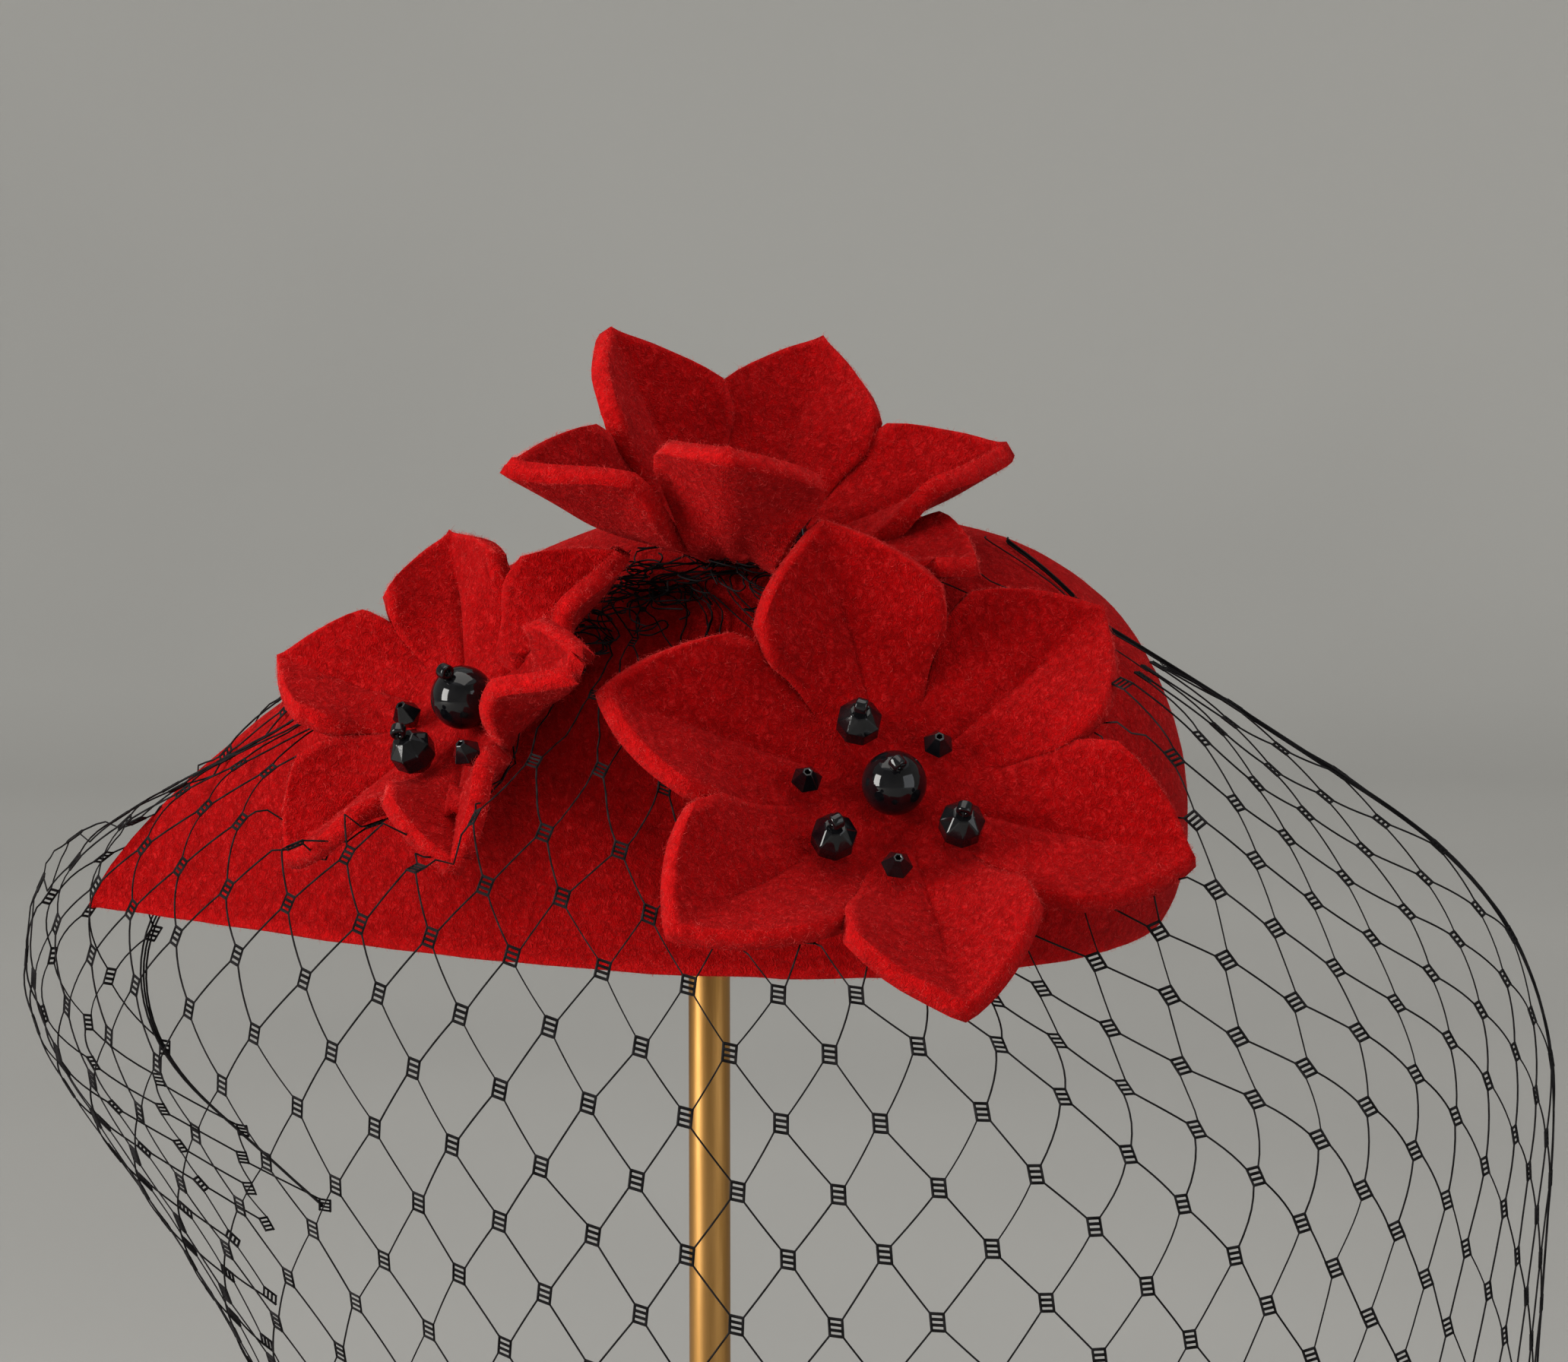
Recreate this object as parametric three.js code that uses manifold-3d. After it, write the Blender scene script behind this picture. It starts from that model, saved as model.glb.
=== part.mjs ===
// Felt fascinator on a plain rod stand: a teardrop percher crown, three felt flowers with bead
// centres, a netting veil gathered on the crown, a hair comb and the stand that holds it.
// Millimetres, +Z up. The origin is on the floor, on the rod's axis; X runs along the crown from its
// point to its round end, and the veil hangs on the -Y side.
import * as THREE from 'three';
import { mergeVertices } from 'three/addons/utils/BufferGeometryUtils.js';
import Module from 'manifold-3d';

const wasm = await Module();
wasm.setup();

// Driving dimensions
const RIM_HEIGHT = 190;
const GAP = 0.3;
const FELT = 2.5;

// Crown of felt. Heights are above the rim. The taper draws the plan out to a point at the rim, and
// the plan is an oval above the level ovalFrom. The three fullness values set how square the section
// is at the point, at the sides and at the round end. The round end overhangs its rim by a share,
// which grows over the height bellyHeight.
const CROWN = {
  pointX: -83, endX: 59.5, halfWidth: 42.8, taper: 1.4, ovalFrom: 0.7, height: 54, apexX: -4,
  pointFullness: 1.32, sideFullness: 2.55, endFullness: 3.55, overhang: 0.1, bellyHeight: 9, rimDip: 1.2,
};
const INNER_CROWN = {
  ...CROWN, pointX: CROWN.pointX + 5.5, endX: CROWN.endX - FELT, halfWidth: CROWN.halfWidth - FELT,
  height: CROWN.height - FELT,
};
const CROWN_COLUMNS = 44;
const CROWN_LEVELS = [0.996, 0.98, 0.95, 0.9, 0.82, 0.71, 0.58, 0.44, 0.3, 0.18, 0.08, 0];
const INNER_LEVELS = [0.99, 0.93, 0.82, 0.66, 0.48, 0.3, 0.13, 0];
const PLACE_RINGS = 60;
const PLACE_COLUMNS = 160;

// Flowers, each cut from one piece of felt. x, y and z place the centre (z above the rim), tilt is
// the angle of the flower's axis from upright, facing its compass angle and turn the first petal's
// angle. A petal row has its swing from the even sixth (degrees), its reach, its tip's rise and the
// angle at which its halves fold up from its midline. A bead row has its distance out from the centre
// and its angle from the first petal. A flower under another is pressed below its petals.
const FLOWERS = [
  {
    name: 'flower_front', x: 25.9, y: -46, z: 22.6, tilt: 52.4, facing: -82, turn: 102, radius: 37,
    petals: [
      { swing: 2, reach: 32.8, rise: 13.4, fold: 20 },
      { swing: -1, reach: 36.8, rise: 4, fold: 22 },
      { swing: 0, reach: 38, rise: 3.4, fold: 20 },
      { swing: -3, reach: 36.5, rise: 11.6, fold: 22 },
      { swing: 2, reach: 37, rise: 10.6, fold: 24 },
      { swing: 3, reach: 37.4, rise: 9.8, fold: 24 },
    ],
    beads: [
      { kind: 'round', out: 1.4, at: 155 },
      { kind: 'faceted', out: 8.3, at: 18 },
      { kind: 'faceted', out: 12.2, at: 126 },
      { kind: 'faceted', out: 10.3, at: -144 },
      { kind: 'bicone', out: 7.6, at: -60 },
      { kind: 'bicone', out: 10.9, at: 79 },
      { kind: 'bicone', out: 12.8, at: 165 },
    ],
  },
  {
    name: 'flower_left', x: -27.8, y: -35.2, z: 30.8, tilt: 43.4, facing: -123, turn: 179, radius: 28.2,
    petals: [
      { swing: 0, reach: 27.6, rise: 7, fold: 25 },
      { swing: 0, reach: 28, rise: 5.8, fold: 35 },
      { swing: 0, reach: 28, rise: 5.4, fold: 45 },
      { swing: 0, reach: 27.6, rise: 12.5, fold: 55 },
      { swing: 0, reach: 28.4, rise: 1.6, fold: 45 },
      { swing: 3, reach: 29.2, rise: 0, fold: 30 },
    ],
    beads: [
      { kind: 'round', out: 4.2, at: 155 },
      { kind: 'faceted', out: 10.5, at: 94 },
      { kind: 'bicone', out: 6.6, at: 35 },
      { kind: 'bicone', out: 12.3, at: 132 },
    ],
  },
  {
    name: 'flower_top', x: 6.9, y: -21.5, z: 50.6, tilt: 18, facing: -61, turn: 113, radius: 34,
    under: 'flower_front',
    petals: [
      { swing: 0, reach: 29.4, rise: 19.6, fold: 25 },
      { swing: -1, reach: 30.3, rise: 18.8, fold: 22 },
      { swing: 0, reach: 33.3, rise: 14, fold: 32 },
      { swing: 15, reach: 31.6, rise: 9.4, fold: 16 },
      { swing: -1, reach: 23.8, rise: 21.5, fold: 30 },
      { swing: 2, reach: 34, rise: 11.6, fold: 40 },
    ],
    beads: [
      { kind: 'round', out: 3.4, at: -122 },
      { kind: 'faceted', out: 8.6, at: 73 },
      { kind: 'faceted', out: 9.2, at: 119 },
      { kind: 'bicone', out: 9.2, at: 168 },
      { kind: 'bicone', out: 8.6, at: 28 },
    ],
  },
];
const PETALS = 6;
const PETAL_TURN = 360 / PETALS;
const SECTOR = Math.PI / PETALS;
// The slits start at a share of the radius, and neighbouring petals part over a share of their length.
const SLIT_START = 0.3;
const PARTING = 0.35;
// Each petal folds up along its midline, round a crease, and its midline rises with a power of the
// distance.
const FOLDED_BY = 0.55;
const CREASE_RADIUS = 1.6;
const RISE_POWER = 1.7;
const STEEPEST_FELT = 1.8;
// Half width of a petal as a share of the flower's radius, from the slit's inner end to the shoulder.
// Two bowed edges run on from the shoulders to the tip.
const SHOULDER = 0.54;
const PETAL_OUTLINE = [
  { along: 0, half: 0.173 },
  { along: 0.18, half: 0.252 },
  { along: 0.36, half: 0.322 },
  { along: SHOULDER, half: 0.342 },
];
const TIP_BOW = 0.4;
const BOW_POWER = 3.5;
// A petal fills at most these shares of its sixth near its slit and further out.
const SECTOR_SHARE = { near: 0.98, far: 1.25, nearEnd: 0.15, farStart: 0.5, ease: 0.1 };
// Rows of a petal, from -1 at the centre and 0 at the slit to 1 at the tip's edges, and places across.
const DISC_ROWS = [-0.67, -0.33, 0];
const PETAL_ROWS = [0.22, 0.44, 0.64, 0.82, 1];
const ACROSS = [-1, -0.5, 0, 0.5, 1];
const NEARBY = 0.01;
// How fast a petal's swing grows along it, until it is whole.
const SWING_RATE = 1.5;

const SEAT_SEARCH = 24;
const BEADS = {
  round: { radius: 4, segments: 12 },
  faceted: { radius: 3, segments: 8 },
  bicone: { radius: 2, segments: 8 },
};

// Veil of netting: one row for each eighth column of its knots. Columns run from behind the point,
// round the front, to the round end. A strand leaves x, y, z (z above the rim) in the direction
// azimuth, falls at the angle leave below level, and turns over to the angle hang around the length
// bend, eased over the length ease.
const MERIDIANS = [
  { column: -32, azimuth: -218, x: -27, y: 6, z: 38, leave: 46, hang: 150, bend: 74, ease: 50 },
  { column: -24, azimuth: -185, x: -28, y: -6, z: 41, leave: 31, hang: 138, bend: 80, ease: 50 },
  { column: -16, azimuth: -152, x: -22, y: -18, z: 41, leave: 25, hang: 116, bend: 66, ease: 89 },
  { column: -8, azimuth: -118, x: -8, y: -32, z: 42, leave: 23, hang: 101, bend: 53, ease: 99 },
  { column: 0, azimuth: -79, x: 5, y: -32, z: 38, leave: 33, hang: 89, bend: 58, ease: 73 },
  { column: 8, azimuth: -35, x: 10, y: -36, z: 38, leave: 41, hang: 89, bend: 84, ease: 26 },
  { column: 16, azimuth: -12, x: 36, y: -42, z: 59, leave: 51, hang: 87, bend: 92, ease: 30 },
  { column: 24, azimuth: 3, x: 35, y: -18, z: 52, leave: 33, hang: 93, bend: 89, ease: 64 },
];
// Where the net is gathered on the crown.
const GATHER = [
  { column: -28, x: -48, y: -6, z: 36 },
  { column: -4, x: -5, y: -30, z: 43 },
  { column: 10, x: 17, y: -24, z: 47 },
  { column: 26, x: 38, y: -4, z: 47 },
];
// How the petals press down the felt or net that lies in or over them: the rise of the pressing for
// each millimetre past a petal's outline, and the height from which it eases off.
const PRESSED = { feltSlope: 5, netSlope: 2, reach: 16 };
const KNOT_STEP = 8;
const FIRST_ROW = -9;
const FREE_ROW = -4;
const NET = {
  firstColumn: -28, lastColumn: 26, topRow: -6, hemRow: 12, cornerColumn: -12, cornerSlope: 0.375,
  mesh: 2, strandWidth: 1.4, strandThickness: 1, standOff: 1.6,
  sharpTurn: 0.35,
};

const STAND = {
  footRadius: 60, footHeight: 8, footEdge: 1.5, rodRadius: 2.75, boreFloor: 2.5,
  capRadius: 9, capHeight: 8, capSkirt: 5,
};

const COMB = {
  x: 20, y: 36, z: 5.5, length: 36, bar: 5, tooth: 13, toothWidth: 1.5, teeth: 9, thickness: 1.6,
};

const COLOURS = {
  felt: new THREE.MeshStandardMaterial({ color: 0xb01218, roughness: 0.95, metalness: 0 }),
  bead: new THREE.MeshStandardMaterial({ color: 0x0b0b0c, roughness: 0.08, metalness: 0 }),
  net: new THREE.MeshStandardMaterial({ color: 0x1c1819, roughness: 0.7, metalness: 0 }),
  brass: new THREE.MeshStandardMaterial({ color: 0xa9792c, roughness: 0.35, metalness: 1 }),
  comb: new THREE.MeshStandardMaterial({ color: 0x161414, roughness: 0.4, metalness: 0 }),
};

const radians = (degrees) => (degrees * Math.PI) / 180;
const lerp = THREE.MathUtils.lerp;
const smoothstep = (x, low, high) => THREE.MathUtils.smoothstep(x, low, high);

/** Value of a table's column at a key between its rows, on straight lines. */
function fromTable(rows, key, column, at) {
  if (at <= rows[0][key]) return rows[0][column];
  for (let k = 1; k < rows.length; k += 1) {
    if (at <= rows[k][key]) {
      const share = (at - rows[k - 1][key]) / (rows[k][key] - rows[k - 1][key]);
      return lerp(rows[k - 1][column], rows[k][column], share);
    }
  }
  return rows[rows.length - 1][column];
}

/** Value of a table's column at a key between evenly spaced rows, on a Catmull-Rom curve. */
function fromCurve(rows, key, column, at) {
  const step = rows[1][key] - rows[0][key];
  const place = THREE.MathUtils.clamp((at - rows[0][key]) / step, 0, rows.length - 1);
  const k = Math.min(Math.floor(place), rows.length - 2);
  const value = (n) => {
    if (n < 0) return 2 * rows[0][column] - rows[1][column];
    if (n >= rows.length) return 2 * rows[rows.length - 1][column] - rows[rows.length - 2][column];
    return rows[n][column];
  };
  const [a, b, c, d] = [value(k - 1), value(k), value(k + 1), value(k + 2)];
  const t = place - k;
  return 0.5 * (2 * b + (c - a) * t + (2 * a - 5 * b + 4 * c - d) * t * t + (3 * b - a - 3 * c + d) * t ** 3);
}

/** Geometry from a list of corner positions and triangles. */
function geometryOf(points, triangles) {
  const geometry = new THREE.BufferGeometry();
  const places = points.flatMap((p) => [p.x, p.y, p.z]);
  geometry.setAttribute('position', new THREE.Float32BufferAttribute(places, 3));
  geometry.setIndex(triangles.flat());
  return geometry;
}

/** Solid for cutting, from a geometry whose corners are shared. */
function solidOf(geometry) {
  const plain = geometry.clone();
  plain.deleteAttribute('normal');
  plain.deleteAttribute('uv');
  const merged = mergeVertices(plain, 1e-4);
  return new wasm.Manifold(new wasm.Mesh({
    numProp: 3,
    vertProperties: new Float32Array(merged.attributes.position.array),
    triVerts: new Uint32Array(merged.index.array),
  }));
}

/** Geometry of a solid's largest body, without the crumbs that a cut leaves. */
function geometryFromSolid(solid) {
  const bodies = solid.decompose().sort((a, b) => b.volume() - a.volume());
  const mesh = bodies[0].getMesh();
  const geometry = new THREE.BufferGeometry();
  geometry.setAttribute('position', new THREE.BufferAttribute(new Float32Array(mesh.vertProperties), 3));
  geometry.setIndex(new THREE.BufferAttribute(new Uint32Array(mesh.triVerts), 1));
  return geometry;
}

/** Geometry with every cutter taken away from it. */
function cutClear(geometry, cutters) {
  const cut = cutters.reduce((solid, cutter) => solid.subtract(cutter), solidOf(geometry));
  return geometryFromSolid(cut);
}

/** Share of its full reach that a crown keeps at a level from 0 (rim) to 1 (top). */
function levelShare(level, fullness) {
  return (1 - level ** fullness) ** (1 / fullness);
}

/** Point of a crown's surface, with z above the rim, at an angle from the point (0) to the round end (pi). */
function crownPoint(crown, angle, level) {
  const back = (crown.pointX - crown.apexX) * levelShare(level, crown.pointFullness);
  const front = (crown.endX - crown.apexX) * levelShare(level, crown.endFullness);
  const taper = crown.taper * (1 - smoothstep(level, 0, crown.ovalFrom));
  const power = taper + 1;
  const widest = 2 * Math.sqrt(1 / (power + 1)) * (power / (power + 1)) ** (power / 2);
  const halfWidth = crown.halfWidth * levelShare(level, crown.sideFullness);
  const x = (front + back) / 2 - ((front - back) / 2) * Math.cos(angle);
  const y = -(halfWidth / widest) * Math.sin(angle) * Math.abs(Math.sin(angle / 2)) ** taper;
  const height = crown.height * level;
  const roundEnd = (1 - Math.cos(angle)) / 2;
  const belly = 1 + crown.overhang * roundEnd * (1 - Math.exp(-height / crown.bellyHeight)) * (1 - level);
  const dip = crown.rimDip * Math.sin(angle) ** 2 * (1 - level) ** 6;
  return new THREE.Vector3(crown.apexX + x * belly, y * belly, height - dip);
}

/** Rings of corner points from the top of a crown down to its rim. */
function crownRings(crown, levels) {
  return levels.map((level) => Array.from(
    { length: CROWN_COLUMNS },
    (_, k) => crownPoint(crown, (k / CROWN_COLUMNS) * 2 * Math.PI, level),
  ));
}

/** Felt crown: an outer and an inner surface joined round the rim. */
function crownGeometry() {
  const points = [];
  const triangles = [];
  const addSheet = (crown, levels, outward) => {
    const top = points.push(new THREE.Vector3(crown.apexX, 0, crown.height)) - 1;
    const starts = crownRings(crown, levels).map((ring) => points.push(...ring) - ring.length);
    const face = (a, b, c) => triangles.push(outward ? [a, b, c] : [a, c, b]);
    for (let k = 0; k < CROWN_COLUMNS; k += 1) {
      const next = (k + 1) % CROWN_COLUMNS;
      face(top, starts[0] + k, starts[0] + next);
      for (let ring = 1; ring < starts.length; ring += 1) {
        const [upper, lower] = [starts[ring - 1], starts[ring]];
        face(upper + k, lower + k, lower + next);
        face(upper + k, lower + next, upper + next);
      }
    }
    return starts[starts.length - 1];
  };
  const outer = addSheet(CROWN, CROWN_LEVELS, true);
  const inner = addSheet(INNER_CROWN, INNER_LEVELS, false);
  for (let k = 0; k < CROWN_COLUMNS; k += 1) {
    const next = (k + 1) % CROWN_COLUMNS;
    triangles.push([outer + k, inner + next, outer + next], [outer + k, inner + k, inner + next]);
  }
  return geometryOf(points, triangles);
}

/** Solid of the whole crown, swollen by a margin, that keeps neighbours off its felt. */
function crownCutter(margin) {
  const swollen = {
    ...CROWN, pointX: CROWN.pointX - 2 * margin, endX: CROWN.endX + margin,
    halfWidth: CROWN.halfWidth + margin, height: CROWN.height + margin,
  };
  const points = [new THREE.Vector3(swollen.apexX, 0, swollen.height)];
  const triangles = [];
  const starts = crownRings(swollen, CROWN_LEVELS).map((ring) => points.push(...ring) - ring.length);
  const bottom = points.push(new THREE.Vector3(swollen.apexX, 0, -2 * CROWN.rimDip)) - 1;
  const last = starts[starts.length - 1];
  for (let k = 0; k < CROWN_COLUMNS; k += 1) {
    const next = (k + 1) % CROWN_COLUMNS;
    triangles.push([0, starts[0] + k, starts[0] + next]);
    for (let ring = 1; ring < starts.length; ring += 1) {
      const [upper, lower] = [starts[ring - 1], starts[ring]];
      triangles.push([upper + k, lower + k, lower + next], [upper + k, lower + next, upper + next]);
    }
    triangles.push([bottom, last + next, last + k]);
  }
  return solidOf(geometryOf(points, triangles));
}

/** A flower's own frame: its centre, its axis and the two directions of its plane. */
function flowerFrame(flower) {
  const [tilt, facing] = [radians(flower.tilt), radians(flower.facing)];
  const axis = new THREE.Vector3(
    Math.sin(tilt) * Math.cos(facing),
    Math.sin(tilt) * Math.sin(facing),
    Math.cos(tilt),
  );
  const right = new THREE.Vector3(0, 0, 1).cross(axis).normalize();
  const up = axis.clone().cross(right);
  return new THREE.Matrix4().makeBasis(right, up, axis).setPosition(flower.x, flower.y, flower.z);
}

/** Height of a petal's midline above the flower's plane, at a distance out from the centre. */
function midlineHeight(flower, petal, out) {
  const { reach, rise } = flower.petals[(petal + PETALS) % PETALS];
  return rise * Math.abs(out / reach) ** RISE_POWER;
}

/** Half width of a petal, measured along the felt, at a share past its slit and a distance out. */
function halfWidth(flower, past, out) {
  const sector = out * Math.tan(SECTOR);
  if (past <= 0) return sector;
  const side = fromCurve(PETAL_OUTLINE, 'along', 'half', past) * flower.radius;
  const tip = THREE.MathUtils.clamp((1 - past) / (1 - SHOULDER), 0, 1);
  const { near, far, nearEnd, farStart, ease } = SECTOR_SHARE;
  const room = lerp(near, far, smoothstep(past, nearEnd, farStart));
  return Math.min(side * tip, sector * lerp(1, room, Math.min(1, past / ease)));
}

/** Angle at which a petal's halves stand up, at a share of the way from its slit to its tip. */
function foldAngle(flower, petal, past) {
  return radians(flower.petals[petal].fold) * smoothstep(past, 0, FOLDED_BY);
}

/** Height that a fold adds at a distance along the felt from the midline. */
function foldLift(alongFelt, fold) {
  return (Math.hypot(alongFelt, CREASE_RADIUS) - CREASE_RADIUS) * Math.sin(fold);
}

/** Point of a petal's middle surface in the flower's frame, by its row and its side from -1 to 1. */
function petalPoint(flower, petal, row, side) {
  const { swing, reach } = flower.petals[petal];
  const slit = SLIT_START * flower.radius;
  const outAt = (past) => (row > 0 ? lerp(slit, reach, past) : slit * (1 + row));
  const flare = Math.max(0, row);
  const bow = lerp(Math.abs(side), Math.abs(side) ** BOW_POWER, TIP_BOW);
  const past = flare * (1 - (1 - SHOULDER) * bow * flare);
  const sidePast = flare * (1 - (1 - SHOULDER) * flare);
  const out = outAt(past);
  const half = halfWidth(flower, Math.min(sidePast, SHOULDER), outAt(sidePast));
  const own = midlineHeight(flower, petal, out);
  const beside = midlineHeight(flower, petal - Math.sign(side), out);
  const shared = Math.max(0, 1 - past / PARTING) * side * side;
  const fold = foldAngle(flower, petal, past);
  const across = side * half * Math.cos(fold);
  const height = lerp(own, (own + beside) / 2, shared) + foldLift(side * half, fold);
  const angle = radians(flower.turn - petal * PETAL_TURN + swing * Math.min(1, past * SWING_RATE));
  return new THREE.Vector3(
    out * Math.cos(angle) - across * Math.sin(angle),
    out * Math.sin(angle) + across * Math.cos(angle),
    height,
  );
}

/** Point pressed down below a flower's petals where it lies in them or over them. */
function belowPetals(point, flower, clearance, slope) {
  const frame = flowerFrame(flower);
  const local = point.clone().applyMatrix4(frame.clone().invert());
  const away = Math.hypot(local.x, local.y);
  const bearing = THREE.MathUtils.radToDeg(Math.atan2(local.y, local.x));
  const number = (flower.turn - bearing) / PETAL_TURN;
  const slit = SLIT_START * flower.radius;
  const ceilings = [-1, 0, 1].map((near) => {
    const turn = Math.round(number) + near;
    const petal = ((turn % PETALS) + PETALS) % PETALS;
    const { swing, reach } = flower.petals[petal];
    const off = radians((number - turn) * PETAL_TURN + swing);
    const [out, across] = [away * Math.cos(off), Math.abs(away * Math.sin(off))];
    const inside = THREE.MathUtils.clamp(out, 0, reach);
    const past = (inside - slit) / (reach - slit);
    const half = halfWidth(flower, past, inside);
    const fold = foldAngle(flower, petal, past);
    const beyond = Math.max(0, out - reach) + Math.max(0, across - half * Math.cos(fold));
    const lift = foldLift(Math.min(across / Math.cos(fold), half), fold);
    return midlineHeight(flower, petal, inside) + lift + slope * beyond;
  });
  const above = local.z - Math.min(...ceilings) + clearance;
  if (above <= 0) return point;
  local.z -= above * (1 - smoothstep(above, PRESSED.reach, 2 * PRESSED.reach));
  return local.applyMatrix4(frame);
}

/**
 * One flower as a felt plate of six petals joined round the centre, in the flower's frame, pressed
 * under the flowers that lie over it.
 */
function flowerPlate(flower, felt, over) {
  const points = [];
  const triangles = [];
  const outline = [];
  const frame = flowerFrame(flower);
  const home = frame.clone().invert();
  const pressedPoint = (petal, row, side) => {
    const point = petalPoint(flower, petal, row, side).applyMatrix4(frame);
    over.forEach((other) => point.copy(belowPetals(point, other, FELT + 2 * GAP, PRESSED.feltSlope)));
    return point.applyMatrix4(home);
  };
  const addPoint = (petal, row, side) => {
    const middle = pressedPoint(petal, row, side);
    const along = pressedPoint(petal, row + NEARBY, side).sub(middle);
    const normal = along.cross(pressedPoint(petal, row, side + NEARBY).sub(middle));
    const steep = row > -1 ? normal.length() / Math.abs(normal.z) : 1;
    const half = (felt / 2) * Math.min(STEEPEST_FELT, steep);
    points.push(middle.clone().setZ(middle.z + half), middle.clone().setZ(middle.z - half));
    return points.length / 2 - 1;
  };
  const addFace = (a, b, c) => {
    triangles.push([2 * a, 2 * b, 2 * c], [2 * a + 1, 2 * c + 1, 2 * b + 1]);
  };
  const centre = addPoint(0, -1, 0);
  const rings = DISC_ROWS.map((row) => {
    const ring = [];
    for (let petal = 0; petal < PETALS; petal += 1) {
      ACROSS.slice(0, -1).forEach((side) => ring.push(addPoint(petal, row, -side)));
    }
    return ring;
  });
  // Petals follow each other clockwise, so each ring is walked from a petal's left edge to its right.
  const count = rings[0].length;
  for (let k = 0; k < count; k += 1) {
    const next = (k + 1) % count;
    addFace(centre, rings[0][next], rings[0][k]);
    for (let ring = 1; ring < rings.length; ring += 1) {
      addFace(rings[ring - 1][k], rings[ring - 1][next], rings[ring][next]);
      addFace(rings[ring - 1][k], rings[ring][next], rings[ring][k]);
    }
  }
  const perPetal = ACROSS.length - 1;
  const slitRing = rings[rings.length - 1];
  for (let petal = 0; petal < PETALS; petal += 1) {
    let previous = ACROSS.map((_, k) => slitRing[(petal * perPetal + k) % count]);
    const left = [previous[0]];
    const right = [previous[perPetal]];
    PETAL_ROWS.forEach((place) => {
      const row = ACROSS.map((side) => addPoint(petal, place, -side));
      for (let k = 0; k < perPetal; k += 1) {
        addFace(previous[k], previous[k + 1], row[k + 1]);
        addFace(previous[k], row[k + 1], row[k]);
      }
      left.push(row[0]);
      right.push(row[perPetal]);
      previous = row;
    });
    outline.push(...left, ...previous.slice(1, -1), ...right.reverse().slice(0, -1));
  }
  outline.forEach((corner, k) => {
    const next = outline[(k + 1) % outline.length];
    triangles.push([2 * corner, 2 * next, 2 * next + 1], [2 * corner, 2 * next + 1, 2 * corner + 1]);
  });
  return geometryOf(points, triangles);
}

/** Bead of a kind with its hole along Z, centred on the origin. */
function beadGeometry(kind) {
  const { radius, segments } = BEADS[kind];
  if (kind === 'round') {
    return new THREE.SphereGeometry(radius, segments, 8).rotateX(Math.PI / 2);
  }
  const profile = kind === 'faceted'
    ? [[0, -0.86], [0.5, -0.86], [0.92, -0.35], [0.92, 0.35], [0.5, 0.86], [0, 0.86]]
    : [[0, -0.95], [0.3, -0.95], [1, 0], [0.3, 0.95], [0, 0.95]];
  const points = profile.map(([r, z]) => new THREE.Vector2(r * radius, z * radius));
  return new THREE.LatheGeometry(points, segments).rotateX(Math.PI / 2);
}

/** Height above the flower's plane at which a bead just clears the swollen plate under it. */
function seatHeight(kind, x, y, swollenPlate) {
  const bead = solidOf(beadGeometry(kind));
  let [low, high] = [0, SEAT_SEARCH];
  for (let k = 0; k < 14; k += 1) {
    const middle = (low + high) / 2;
    if (bead.translate([x, y, middle]).intersect(swollenPlate).volume() > 0) low = middle;
    else high = middle;
  }
  return high;
}

/** Places over the crown's outer surface, each with its way out. */
function crownPlaces() {
  const places = [];
  const small = 1e-3;
  for (let ring = 1; ring < PLACE_RINGS; ring += 1) {
    const level = 1 - (ring / PLACE_RINGS) ** 1.5;
    for (let k = 0; k < PLACE_COLUMNS; k += 1) {
      const angle = ((k + 0.5) / PLACE_COLUMNS) * 2 * Math.PI;
      const at = crownPoint(CROWN, angle, level);
      const along = crownPoint(CROWN, angle + small, level).sub(at);
      const down = crownPoint(CROWN, angle, level - small).sub(at);
      places.push({ at, away: down.cross(along).normalize() });
    }
  }
  return places;
}

/** Height of a point over the crown's outer surface, and the way out of it. */
function crownClearance(point) {
  let nearest = CROWN_PLACES[0];
  CROWN_PLACES.forEach((place) => {
    if (place.at.distanceToSquared(point) < nearest.at.distanceToSquared(point)) nearest = place;
  });
  return { depth: point.clone().sub(nearest.at).dot(nearest.away), away: nearest.away };
}

/** Point of the veil's surface before anything pushes it, by column and row of knots. */
function freeVeil(column, row) {
  const value = (name) => fromCurve(MERIDIANS, 'column', name, column);
  const length = (row - FIRST_ROW) * KNOT_STEP;
  const steps = 16;
  let [out, down] = [0, 0];
  for (let k = 0; k < steps; k += 1) {
    const at = (length * (k + 0.5)) / steps;
    const turned = smoothstep(at, value('bend') - value('ease') / 2, value('bend') + value('ease') / 2);
    const fall = radians(lerp(value('leave'), value('hang'), turned));
    out += (Math.cos(fall) * length) / steps;
    down += (Math.sin(fall) * length) / steps;
  }
  const azimuth = radians(value('azimuth'));
  return new THREE.Vector3(
    value('x') + out * Math.cos(azimuth),
    value('y') + out * Math.sin(azimuth),
    value('z') - down,
  );
}

/** Point of the hung veil: gathered on the crown, under the flowers' petals and clear of the felt. */
function veilPoint(column, row) {
  const gathered = ['x', 'y', 'z'].map((name) => fromTable(GATHER, 'column', name, column));
  const gather = new THREE.Vector3(...gathered);
  const share = smoothstep(row, FIRST_ROW, FREE_ROW);
  let point = gather.lerp(freeVeil(column, row), share);
  FLOWERS.forEach((flower) => {
    point = belowPetals(point, flower, FELT / 2 + NET.strandThickness, PRESSED.netSlope);
  });
  const { depth, away } = crownClearance(point);
  if (depth < NET.standOff && point.z > -NET.standOff) point.addScaledVector(away, NET.standOff - depth);
  return point;
}

/** Last row of knots in a column: the hem, which rises towards the net's end behind the point. */
function hemRow(column) {
  return NET.hemRow - Math.max(0, NET.cornerColumn - column) * NET.cornerSlope;
}

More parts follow.
